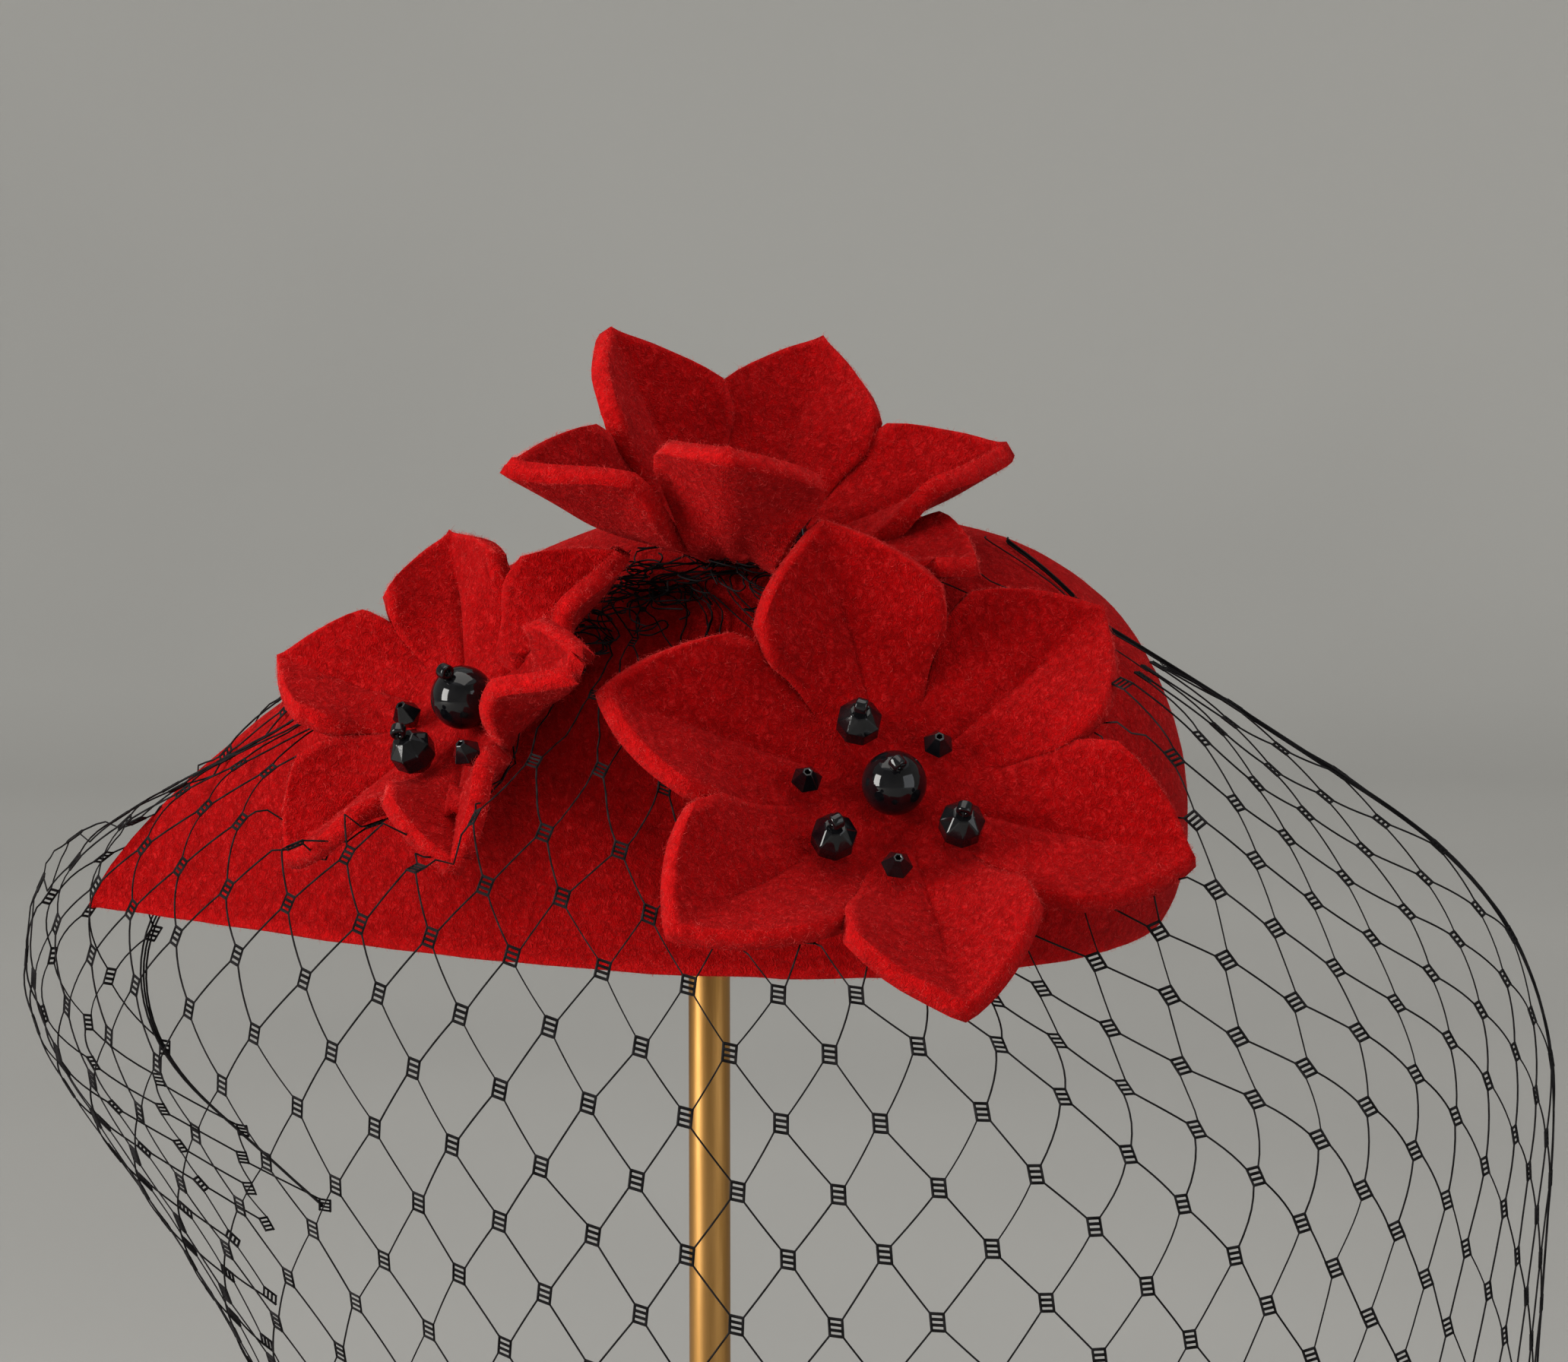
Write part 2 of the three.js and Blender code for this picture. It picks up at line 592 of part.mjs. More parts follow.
/** Knots and strands of the net, with every second knot left out each way. */
function netGraph() {
  const knots = new Map();
  const strands = [];
  const key = (column, row) => `${column},${row}`;
  const [topKnots, sideKnots] = [[], []];
  for (let row = NET.topRow; row <= NET.hemRow; row += NET.mesh) {
    for (let column = NET.firstColumn; column <= NET.lastColumn; column += NET.mesh) {
      const odd = ((column / NET.mesh + (row - NET.topRow) / NET.mesh) % 2) !== 0;
      if (!odd && row <= hemRow(column)) {
        knots.set(key(column, row), { column, row, links: [] });
        if (row === NET.topRow) topKnots.push(key(column, row));
      }
    }
  }
  const link = (a, b) => {
    if (!knots.has(a) || !knots.has(b)) return;
    strands.push([a, b]);
    knots.get(a).links.push(b);
    knots.get(b).links.push(a);
  };
  knots.forEach(({ column, row }, name) => {
    link(name, key(column - NET.mesh, row + NET.mesh));
    link(name, key(column + NET.mesh, row + NET.mesh));
  });
  [NET.firstColumn, NET.lastColumn].forEach((column) => {
    for (let row = NET.topRow; row <= NET.hemRow; row += NET.mesh) {
      if (knots.has(key(column, row))) {
        sideKnots.push(key(column, row));
        link(key(column, row), key(column, row + 2 * NET.mesh));
      }
    }
  });
  topKnots.slice(1).forEach((name, k) => link(topKnots[k], name));
  // Knots that a single strand would leave hanging are dropped.
  knots.forEach((knot, name) => {
    if (knot.links.length < 2) {
      knots.get(knot.links[0]).links.splice(knots.get(knot.links[0]).links.indexOf(name), 1);
      knots.delete(name);
    }
  });
  return { knots, strands: strands.filter(([a, b]) => knots.has(a) && knots.has(b)) };
}

/** Net of flat strands on the veil's surface: a patch for each knot and a strip for each strand. */
function veilGeometry() {
  const { knots, strands } = netGraph();
  const points = [];
  const triangles = [];
  const place = new Map();
  knots.forEach((knot, name) => place.set(name, veilPoint(knot.column, knot.row)));
  const corners = new Map();
  knots.forEach((knot, name) => {
    const here = place.get(name);
    const across = veilPoint(knot.column + 1, knot.row).sub(veilPoint(knot.column - 1, knot.row)).normalize();
    const down = veilPoint(knot.column, knot.row + 1).sub(veilPoint(knot.column, knot.row - 1)).normalize();
    const outward = down.clone().cross(across).normalize();
    const bearing = (other) => {
      const { column, row } = knots.get(other);
      return Math.atan2(knot.row - row, column - knot.column);
    };
    knot.links.sort((a, b) => bearing(a) - bearing(b));
    const ways = knot.links.map((other) => {
      const way = place.get(other).clone().sub(here);
      return way.addScaledVector(outward, -way.dot(outward)).normalize();
    });
    knot.links.forEach((other, k) => {
      const next = (k + 1) % ways.length;
      const turn = new THREE.Vector3().crossVectors(ways[k], ways[next]).dot(outward);
      const corner = here.clone();
      const half = NET.strandWidth / 2;
      if (Math.abs(turn) > NET.sharpTurn) {
        corner.addScaledVector(ways[k].clone().add(ways[next]), half / turn);
      } else {
        corner.addScaledVector(new THREE.Vector3().crossVectors(outward, ways[k]), half);
      }
      const lift = outward.clone().multiplyScalar(NET.strandThickness / 2);
      const index = points.push(corner.clone().add(lift), corner.clone().sub(lift)) / 2 - 1;
      corners.set(`${name}|${other}`, index);
    });
  });
  // The corner after a link lies on its left, and the corner before it on its right.
  const leftOf = (name, other) => corners.get(`${name}|${other}`);
  const rightOf = (name, other) => {
    const { links } = knots.get(name);
    return corners.get(`${name}|${links[(links.indexOf(other) + links.length - 1) % links.length]}`);
  };
  const addFace = (a, b, c) => {
    triangles.push([2 * a, 2 * b, 2 * c], [2 * a + 1, 2 * c + 1, 2 * b + 1]);
  };
  const addWall = (a, b) => {
    triangles.push([2 * a, 2 * b, 2 * b + 1], [2 * a, 2 * b + 1, 2 * a + 1]);
  };
  knots.forEach((knot, name) => {
    const ring = knot.links.map((other) => leftOf(name, other));
    for (let k = 1; k + 1 < ring.length; k += 1) addFace(ring[0], ring[k], ring[k + 1]);
  });
  const walls = new Map();
  strands.forEach(([a, b]) => {
    const [aLeft, aRight, bLeft, bRight] = [leftOf(a, b), rightOf(a, b), leftOf(b, a), rightOf(b, a)];
    addFace(aRight, bLeft, bRight);
    addFace(aRight, bRight, aLeft);
    walls.set(`${a}|${b}`, [bRight, aLeft]);
    walls.set(`${b}|${a}`, [aRight, bLeft]);
  });
  walls.forEach(([from, to]) => addWall(to, from));
  return geometryOf(points, triangles);
}

/** Closed turned solid about Z from pairs of radius and height, listed upwards. */
function turned(profile, segments) {
  const corners = profile.map(([r, z]) => new THREE.Vector2(r, z));
  return new THREE.LatheGeometry(corners, segments).rotateX(Math.PI / 2);
}

/** Round foot with a blind bore for the rod. */
function footGeometry() {
  const { footRadius, footHeight, footEdge, rodRadius, boreFloor } = STAND;
  return turned([
    [0, 0],
    [footRadius - footEdge, 0],
    [footRadius, footEdge],
    [footRadius, footHeight - footEdge],
    [footRadius - footEdge, footHeight],
    [rodRadius + GAP, footHeight],
    [rodRadius + GAP, boreFloor],
    [0, boreFloor],
  ], 40);
}

/** Height above the rim of the crown's inner surface on the rod's axis. */
function innerHeight() {
  let [low, high] = [0, 1];
  for (let k = 0; k < 40; k += 1) {
    const middle = (low + high) / 2;
    if (crownPoint(INNER_CROWN, Math.PI, middle).x > 0) low = middle;
    else high = middle;
  }
  return low * INNER_CROWN.height;
}

/** Domed cap that the crown rests on, open below for the rod. */
function capGeometry(top) {
  const { capRadius, capHeight, capSkirt, rodRadius } = STAND;
  const under = top - capHeight;
  return turned([
    [rodRadius + GAP, under],
    [capRadius - 1.5, under],
    [capRadius, under + 1.5],
    [capRadius, top - 2.6],
    [capRadius * 0.85, top - 1.5],
    [capRadius * 0.5, top - 0.6],
    [0, top],
    [0, top - capHeight + capSkirt],
    [rodRadius + GAP, top - capHeight + capSkirt],
    [rodRadius + GAP, under],
  ], 24);
}

/** Plain hair comb lying inside the rim with its teeth towards the middle. */
function combGeometry() {
  const { length, bar, tooth, toothWidth, teeth, thickness } = COMB;
  const shape = new THREE.Shape();
  shape.moveTo(length / 2, 0);
  shape.lineTo(length / 2, bar);
  shape.lineTo(-length / 2, bar);
  shape.lineTo(-length / 2, 0);
  const pitch = (length - toothWidth) / (teeth - 1);
  for (let k = 0; k < teeth; k += 1) {
    const left = -length / 2 + k * pitch;
    if (k > 0) shape.lineTo(left, 0);
    shape.lineTo(left + toothWidth * 0.25, -tooth);
    shape.lineTo(left + toothWidth * 0.75, -tooth);
    if (k < teeth - 1) shape.lineTo(left + toothWidth, 0);
  }
  shape.closePath();
  return new THREE.ExtrudeGeometry(shape, { depth: thickness, bevelEnabled: false });
}

/** Named mesh with its own material. */
function piece(name, geometry, material) {
  geometry.computeVertexNormals();
  const mesh = new THREE.Mesh(geometry, material.clone());
  mesh.name = name;
  return mesh;
}

const fascinator = new THREE.Group();
const hat = new THREE.Group();
hat.position.z = RIM_HEIGHT;
fascinator.add(hat);
hat.add(piece('crown', crownGeometry(), COLOURS.felt));

const CROWN_PLACES = crownPlaces();
const feltCutter = crownCutter(GAP);
const flowerSolids = [];
FLOWERS.forEach((flower) => {
  const over = FLOWERS.filter(({ name }) => name === flower.under);
  const frame = flowerFrame(flower);
  const plate = flowerPlate(flower, FELT, over).applyMatrix4(frame);
  const cut = cutClear(plate, [feltCutter, ...flowerSolids]);
  hat.add(piece(flower.name, cut, COLOURS.felt));
  const swollen = flowerPlate(flower, FELT + 2 * GAP, over);
  const swollenPlate = solidOf(swollen);
  flowerSolids.push(solidOf(swollen.applyMatrix4(frame)));
  const counts = {};
  flower.beads.forEach(({ kind, out, at }) => {
    const bearing = radians(flower.turn + at);
    const [x, y] = [out * Math.cos(bearing), out * Math.sin(bearing)];
    counts[kind] = (counts[kind] ?? 0) + 1;
    const bead = piece(`${flower.name}_bead_${kind}_${counts[kind]}`, beadGeometry(kind), COLOURS.bead);
    const seat = new THREE.Matrix4().makeTranslation(x, y, seatHeight(kind, x, y, swollenPlate));
    bead.applyMatrix4(frame.clone().multiply(seat));
    hat.add(bead);
  });
});

hat.add(piece('veil', cutClear(veilGeometry(), [feltCutter, ...flowerSolids]), COLOURS.net));

const capTop = RIM_HEIGHT + innerHeight() - GAP;
const rodTop = capTop - STAND.capHeight + STAND.capSkirt - GAP;
const rodFloor = STAND.boreFloor + GAP;
const rod = new THREE.CylinderGeometry(STAND.rodRadius, STAND.rodRadius, rodTop - rodFloor, 16);
const rodPiece = piece('stand_rod', rod.rotateX(Math.PI / 2), COLOURS.brass);
rodPiece.position.z = (rodTop + rodFloor) / 2;
fascinator.add(piece('stand_foot', footGeometry(), COLOURS.brass), rodPiece);
fascinator.add(piece('stand_cap', capGeometry(capTop), COLOURS.brass));

const comb = piece('hair_comb', combGeometry(), COLOURS.comb);
comb.position.set(COMB.x, COMB.y - COMB.bar, COMB.z);
hat.add(comb);

export default fascinator;
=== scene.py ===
"""Felt fascinator on a plain rod stand: a teardrop crown, three felt flowers with bead centres, a
netting veil, a hair comb and the stand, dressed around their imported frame.

Sizes in the classes are millimetres, in the frame's axes: +Z up from the floor, X along the crown
from its point to its round end, and the veil hangs on the -Y side. Meshes are made in millimetres
and scaled to metres as they are finished.
"""

import logging
import math
from dataclasses import dataclass, field, replace
from enum import Enum

import bmesh
import bpy
import numpy as np
from mathutils import Matrix, Vector, noise
from mathutils.bvhtree import BVHTree


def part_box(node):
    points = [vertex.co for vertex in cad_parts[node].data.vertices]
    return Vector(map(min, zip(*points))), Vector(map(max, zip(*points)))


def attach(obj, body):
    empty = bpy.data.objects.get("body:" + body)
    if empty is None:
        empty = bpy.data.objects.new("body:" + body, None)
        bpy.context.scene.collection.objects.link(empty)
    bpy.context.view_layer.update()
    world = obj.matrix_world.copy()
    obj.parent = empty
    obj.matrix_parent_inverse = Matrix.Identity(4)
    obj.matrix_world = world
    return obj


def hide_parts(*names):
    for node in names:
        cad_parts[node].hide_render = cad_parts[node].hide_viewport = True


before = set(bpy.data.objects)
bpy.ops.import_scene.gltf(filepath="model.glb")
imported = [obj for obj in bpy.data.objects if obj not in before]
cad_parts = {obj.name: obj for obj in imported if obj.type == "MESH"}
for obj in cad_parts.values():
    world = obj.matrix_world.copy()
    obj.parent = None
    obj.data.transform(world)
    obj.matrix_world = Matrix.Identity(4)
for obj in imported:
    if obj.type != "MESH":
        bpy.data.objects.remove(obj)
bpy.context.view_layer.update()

MM = 0.001
RIM_HEIGHT = 190.0
FELT = 2.5
GAP = 0.3
BODY = "root"
CROWN_FIBRES = 18000
FLOWER_FIBRES = 13000
FIRST_FUZZ_SEED = 11
NOISE_SEED = 5

Colour = tuple[float, float, float]
Profile = list[tuple[float, float]]

log = logging.getLogger("fascinator")


def smoothstep(value: float, low: float, high: float) -> float:
    """Smooth share from 0 at low to 1 at high."""
    share = min(1.0, max(0.0, (value - low) / (high - low)))
    return share * share * (3.0 - 2.0 * share)


def lerp(start: float, end: float, share: float) -> float:
    """Value a share of the way from start to end."""
    return start + (end - start) * share


def spline(values: tuple[float, ...], place: float) -> float:
    """Value of a Catmull-Rom curve through evenly spaced values.

    Args:
        values: the curve's values at 0, 1, 2 and so on.
        place: where to read the curve, held between its ends.

    Returns:
        The curve's value there.
    """
    place = min(max(place, 0.0), len(values) - 1.0)
    k = min(int(place), len(values) - 2)
    before = values[k - 1] if k > 0 else 2 * values[0] - values[1]
    after = values[k + 2] if k + 2 < len(values) else 2 * values[-1] - values[-2]
    b, c = values[k], values[k + 1]
    t = place - k
    cubic = (3 * b - before - 3 * c + after) * t**3
    return 0.5 * (2 * b + (c - before) * t + (2 * before - 5 * b + 4 * c - after) * t * t + cubic)


class Slot(Enum):
    """Kinds of material that a piece is made of."""

    FELT = "felt"
    BEAD = "bead"
    NET = "net"
    COMB = "comb"
    BRASS = "brass"


class Board:
    """Places and links the nodes of one shader tree."""

    def __init__(self, tree: bpy.types.NodeTree) -> None:
        """Clears the tree.

        Args:
            tree: the tree to work in.
        """
        self.tree = tree
        tree.nodes.clear()

    def add(self, kind: str, inputs: dict | None = None, **settings: object) -> bpy.types.Node:
        """Adds a node.

        Args:
            kind: the node's type.
            inputs: its sockets by name or number, each a value or another node's output.
            settings: its own properties.

        Returns:
            The new node.
        """
        node = self.tree.nodes.new(kind)
        for name, value in settings.items():
            setattr(node, name, value)
        for name, value in (inputs or {}).items():
            if isinstance(value, bpy.types.NodeSocket):
                self.tree.links.new(value, node.inputs[name])
            else:
                node.inputs[name].default_value = value
        return node

    def maths(self, operation: str, a: object, b: object = 0.0) -> bpy.types.NodeSocket:
        """Output of a Math node on two values or sockets."""
        return self.add("ShaderNodeMath", {0: a, 1: b}, operation=operation).outputs[0]

    def mix(self, share: object, a: object, b: object) -> bpy.types.NodeSocket:
        """Output of a colour mix from a to b."""
        return self.add("ShaderNodeMix", {0: share, 6: a, 7: b}, data_type="RGBA").outputs[2]

    def spread(
        self, value: object, low: float, high: float, to_low: float, to_high: float,
    ) -> bpy.types.NodeSocket:
        """Value moved from the range low to high to another range, held at its ends."""
        ends = {"Value": value, 1: low, 2: high, 3: to_low, 4: to_high}
        return self.add("ShaderNodeMapRange", ends).outputs[0]

    def noise(
        self, vector: object, scale: object, detail: float, roughness: float = 0.5,
    ) -> bpy.types.NodeSocket:
        """Output of a noise texture."""
        sizes = {"Vector": vector, "Scale": scale, "Detail": detail, "Roughness": roughness}
        return self.add("ShaderNodeTexNoise", sizes).outputs[0]

    def bump(self, height: bpy.types.NodeSocket, strength: float, depth: float) -> bpy.types.NodeSocket:
        """Normal of a relief, by its height, how strong it is and its depth in metres."""
        sizes = {"Strength": strength, "Distance": depth, "Height": height}
        return self.add("ShaderNodeBump", sizes).outputs[0]


def shader_group(name: str, inputs: dict[str, tuple[str, object]], outputs: dict[str, str]) -> tuple:
    """Starts a shader node group.

    Args:
        name: the group's name.
        inputs: its inputs, each with its socket type's last word and its default value.
        outputs: its outputs, each with its socket type's last word.

    Returns:
        The group, the board to build it on, its input node and its output node.
    """
    group = bpy.data.node_groups.new(name, "ShaderNodeTree")
    board = Board(group)
    for label, (kind, value) in inputs.items():
        socket = group.interface.new_socket(name=label, in_out="INPUT", socket_type="NodeSocket" + kind)
        if value is not None:
            socket.default_value = value
    for label, kind in outputs.items():
        group.interface.new_socket(name=label, in_out="OUTPUT", socket_type="NodeSocket" + kind)
    return group, board, board.add("NodeGroupInput"), board.add("NodeGroupOutput")


def matted_wool_group() -> bpy.types.NodeTree:
    """Matted wool: a mottle of lighter and darker tufts, and the height of its fibres.

    Returns:
        The group.
    """
    fibre_turns = ((0.0, 0.0, 0.4), (0.9, 0.3, 1.9), (0.2, 1.3, 2.8))
    fibre_stretch = (1.0, 0.16, 0.4)
    curl_size = 0.0022
    group, board, given, out = shader_group(
        "matted_wool",
        {
            "Vector": ("Vector", None), "Tufts per metre": ("Float", 900.0),
            "Fibres per metre": ("Float", 3800.0),
        },
        {"Mottle": "Float", "Specks": "Float", "Height": "Float"},
    )
    place, tufts_per_metre, fibres_per_metre = given.outputs[:3]
    drift = board.add("ShaderNodeTexNoise", {"Vector": place, "Scale": 900.0, "Detail": 2.0})
    bend = board.add("ShaderNodeVectorMath", {0: drift.outputs["Color"], 3: curl_size}, operation="SCALE")
    curled = board.add("ShaderNodeVectorMath", {0: place, 1: bend.outputs[0]}, operation="ADD").outputs[0]
    mottle = board.noise(curled, tufts_per_metre, 5.0, 0.68)
    layers = []
    for turn in fibre_turns:
        combed = board.add(
            "ShaderNodeMapping", {"Vector": curled, "Rotation": turn, "Scale": fibre_stretch},
        ).outputs[0]
        fibres = board.noise(combed, fibres_per_metre, 2.0, 0.6)
        layers.append(board.spread(fibres, 0.42, 0.68, 0.0, 1.0))
    height = board.maths("MAXIMUM", board.maths("MAXIMUM", layers[0], layers[1]), layers[2])
    specks = board.spread(board.maths("MULTIPLY", height, mottle), 0.3, 0.6, 0.0, 1.0)
    tufts = board.maths("MULTIPLY", mottle, 1.6)
    board.tree.links.new(board.spread(mottle, 0.34, 0.66, 0.0, 1.0), out.inputs["Mottle"])
    board.tree.links.new(specks, out.inputs["Specks"])
    board.tree.links.new(board.maths("ADD", height, tufts), out.inputs["Height"])
    return group


def handling_group() -> bpy.types.NodeTree:
    """Traces of handling on a hard surface: smudges that dull it and fine wiping lines.

    Returns:
        The group.
    """
    group, board, given, out = shader_group(
        "handling",
        {
            "Vector": ("Vector", None), "Smudges per metre": ("Float", 300.0),
            "Lines per metre": ("Float", 2500.0),
        },
        {"Smudges": "Float", "Height": "Float"},
    )
    place, smudges_per_metre, lines_per_metre = given.outputs[:3]
    smudges = board.noise(place, smudges_per_metre, 4.0, 0.6)
    lines = board.noise(place, lines_per_metre, 3.0, 0.7)
    board.tree.links.new(board.spread(smudges, 0.35, 0.7, 0.0, 1.0), out.inputs["Smudges"])
    board.tree.links.new(board.maths("MULTIPLY", lines, smudges), out.inputs["Height"])
    return group


def new_material(name: str) -> tuple[bpy.types.Material, Board, bpy.types.NodeSocket]:
    """Starts a material.

    Args:
        name: the material's name.

    Returns:
        The material, the board to build it on and the Object coordinates.
    """
    material = bpy.data.materials.new(name)
    material.use_nodes = True
    board = Board(material.node_tree)
    return material, board, board.add("ShaderNodeTexCoord").outputs["Object"]


def close_material(board: Board, shader: dict) -> None:
    """Ends a material with a Principled shader.

    Args:
        board: the material's board.
        shader: the shader's sockets, each a value or a socket.
    """
    surface = board.add("ShaderNodeBsdfPrincipled", shader)
    board.add("ShaderNodeOutputMaterial", {"Surface": surface.outputs[0]})


@dataclass(frozen=True)
class FeltFinish:
    """Wool felt: mottled, matt, with a soft halo of fibres and a painted highlight along its cut edges."""

    name: str
    shade: Colour = (0.25, 0.0005, 0.0008)
    lit: Colour = (0.43, 0.0016, 0.0025)
    speck: Colour = (0.72, 0.03, 0.03)
    # The cut colour and the two shares after it paint a highlight along the cut edges, stronger where the
    # mottle is lighter.
    cut: Colour = (0.66, 0.006, 0.007)
    speck_share: float = 0.3
    cut_highlight_shares: tuple[float, float] = (0.35, 0.8)
    sheen: float = 0.15
    relief: float = 0.0004

    def material(self, wool: bpy.types.NodeTree) -> bpy.types.Material:
        """Builds the material.

        Args:
            wool: the matted wool group.

        Returns:
            The felt's material.
        """
        material, board, place = new_material(self.name)
        matting = board.add("ShaderNodeGroup", node_tree=wool)
        board.tree.links.new(place, matting.inputs[0])
        cut_edge = board.add("ShaderNodeAttribute", attribute_name="cut_edge").outputs["Fac"]
        mottle = matting.outputs["Mottle"]
        body = board.mix(mottle, (*self.shade, 1), (*self.lit, 1))
        speck_share = board.maths("MULTIPLY", matting.outputs["Specks"], self.speck_share)
        flecked = board.mix(speck_share, body, (*self.speck, 1))
        # Painted highlight: the cut edges are mixed towards a brighter red.
        cut_highlight_share = board.maths("MULTIPLY", cut_edge, board.spread(mottle, 0, 1, *self.cut_highlight_shares))
        close_material(board, {
            "Base Color": board.mix(cut_highlight_share, flecked, (*self.cut, 1)), "Roughness": 0.95,
            "Normal": board.bump(matting.outputs["Height"], 0.7, self.relief), "Specular IOR Level": 0.03,
            "Sheen Weight": self.sheen, "Sheen Roughness": 0.5, "Sheen Tint": (1.0, 0.12, 0.12, 1),
        })
        return material


@dataclass(frozen=True)
class FibreFinish:
    """Loose wool fibres that stand off the felt."""

    name: str
    root: Colour = (0.4, 0.002, 0.003)
    tip: Colour = (0.85, 0.08, 0.07)

    def material(self) -> bpy.types.Material:
        """Builds the material, which varies from fibre to fibre.

        Returns:
            The fibres' material.
        """
        material, board, place = new_material(self.name)
        tone = board.spread(board.noise(place, 700.0, 1.0), 0.35, 0.65, 0.0, 1.0)
        close_material(board, {
            "Base Color": board.mix(tone, (*self.root, 1), (*self.tip, 1)), "Roughness": 0.8,
            "Specular IOR Level": 0.2,
        })
        return material


@dataclass(frozen=True)
class GlossFinish:
    """Glossy dark glass or plastic with faint traces of handling."""

    name: str
    deep: Colour
    bright: Colour
    roughness: tuple[float, float]
    relief: float

    def material(self, handling: bpy.types.NodeTree) -> bpy.types.Material:
        """Builds the material.

        Args:
            handling: the handling group.

        Returns:
            The finish's material.
        """
        material, board, place = new_material(self.name)
        traces = board.add("ShaderNodeGroup", node_tree=handling)
        board.tree.links.new(place, traces.inputs[0])
        close_material(board, {
            "Base Color": board.mix(traces.outputs["Smudges"], (*self.deep, 1), (*self.bright, 1)),
            "Roughness": board.spread(traces.outputs["Smudges"], 0, 1, *self.roughness),
            "Normal": board.bump(traces.outputs["Height"], 0.4, self.relief), "IOR": 1.42,
        })
        return material


@dataclass(frozen=True)
class ThreadFinish:
    """Twisted thread: dark, faintly shiny, with its plies running round it."""

    name: str
    dark: Colour = (0.003, 0.0025, 0.003)
    pale: Colour = (0.012, 0.011, 0.012)
    plies_per_metre: float = 1700.0
    relief: float = 0.00006

    def material(self) -> bpy.types.Material:
        """Builds the material.

        Returns:
            The thread's material.
        """
        material, board, place = new_material(self.name)
        twist = board.add(
            "ShaderNodeTexWave",
            {"Vector": place, "Scale": self.plies_per_metre / 10, "Distortion": 2.0, "Detail": 1.0},
            bands_direction="DIAGONAL",
        ).outputs[1]
        close_material(board, {
            "Base Color": board.mix(twist, (*self.dark, 1), (*self.pale, 1)), "Roughness": 0.7,
            "Normal": board.bump(twist, 0.6, self.relief), "Specular IOR Level": 0.12,
        })
        return material


@dataclass(frozen=True)
class BrassFinish:
    """Lacquered brass with browner patches and lines along its length."""

    name: str
    warm: Colour = (0.52, 0.28, 0.09)
    brown: Colour = (0.3, 0.15, 0.035)
    roughness: tuple[float, float] = (0.38, 0.52)
    drawn: tuple[float, float, float] = (1.0, 1.0, 0.06)
    relief: float = 0.00005

    def material(self, handling: bpy.types.NodeTree) -> bpy.types.Material:
        """Builds the material.

        Args:
            handling: the handling group.

        Returns:
            The brass's material.
        """
        material, board, place = new_material(self.name)
        drawn = board.add("ShaderNodeMapping", {"Vector": place, "Scale": self.drawn}).outputs[0]
        traces = board.add("ShaderNodeGroup", node_tree=handling)
        board.tree.links.new(drawn, traces.inputs[0])
        close_material(board, {
            "Base Color": board.mix(traces.outputs["Smudges"], (*self.warm, 1), (*self.brown, 1)),
            "Roughness": board.spread(traces.outputs["Smudges"], 0, 1, *self.roughness),
            "Metallic": 1.0, "Normal": board.bump(traces.outputs["Height"], 0.3, self.relief),
        })
        return material


@dataclass(frozen=True)
class SweepFinish:
    """Matt pale paper of the studio sweep, a little darker near the origin. Distances are metres."""

    name: str
    wall: Colour = (0.53, 0.525, 0.505)
    floor: Colour = (0.4, 0.397, 0.385)
    near: float = 0.35
    far: float = 1.4

    def material(self) -> bpy.types.Material:
        """Builds the material.

        Returns:
            The paper's material.
        """
        material, board, place = new_material(self.name)
        distance = board.add("ShaderNodeVectorMath", {0: place}, operation="LENGTH").outputs["Value"]
        away = board.spread(distance, self.near, self.far, 0.0, 1.0)
        cloudy = board.spread(board.noise(place, 2.5, 2.0), 0.3, 0.7, -0.2, 0.2)
        share = board.maths("ADD", away, cloudy)
        close_material(board, {
            "Base Color": board.mix(share, (*self.floor, 1), (*self.wall, 1)), "Roughness": 0.9,
            "Specular IOR Level": 0.1,
        })
        return material


def finished(
    name: str, mesh: bpy.types.Mesh, material: bpy.types.Material, slot: Slot | None,
) -> bpy.types.Object:
    """Makes a piece of a finished mesh in metres.

    Args:
        name: the piece's name.
        mesh: its mesh.
        material: its material.
        slot: the piece's kind of material, which is not stored; any kind attaches the piece to the object's
            body, and None leaves out what isn't part of the object.

    Returns:
        The piece, in the scene.
    """
    mesh.name = name
    mesh.materials.clear()
    mesh.materials.append(material)
    piece = bpy.data.objects.new(name, mesh)
    bpy.context.scene.collection.objects.link(piece)
    if slot is not None:
        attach(piece, BODY)
    log.info("%s: %d vertices, %d faces", name, len(mesh.vertices), len(mesh.polygons))
    return piece


def mesh_of(bm: bmesh.types.BMesh, smooth: bool = True) -> bpy.types.Mesh:
    """Scales a bmesh to metres, writes it to a mesh and frees it.

    Args:
        bm: the bmesh, in millimetres.
        smooth: whether its faces are shaded smooth.

    Returns:
        The new mesh.
    """
    bmesh.ops.scale(bm, vec=(MM, MM, MM), verts=bm.verts[:])
    for face in bm.faces:
        face.smooth = smooth
    mesh = bpy.data.meshes.new("piece")
    bm.to_mesh(mesh)
    bm.free()
    return mesh


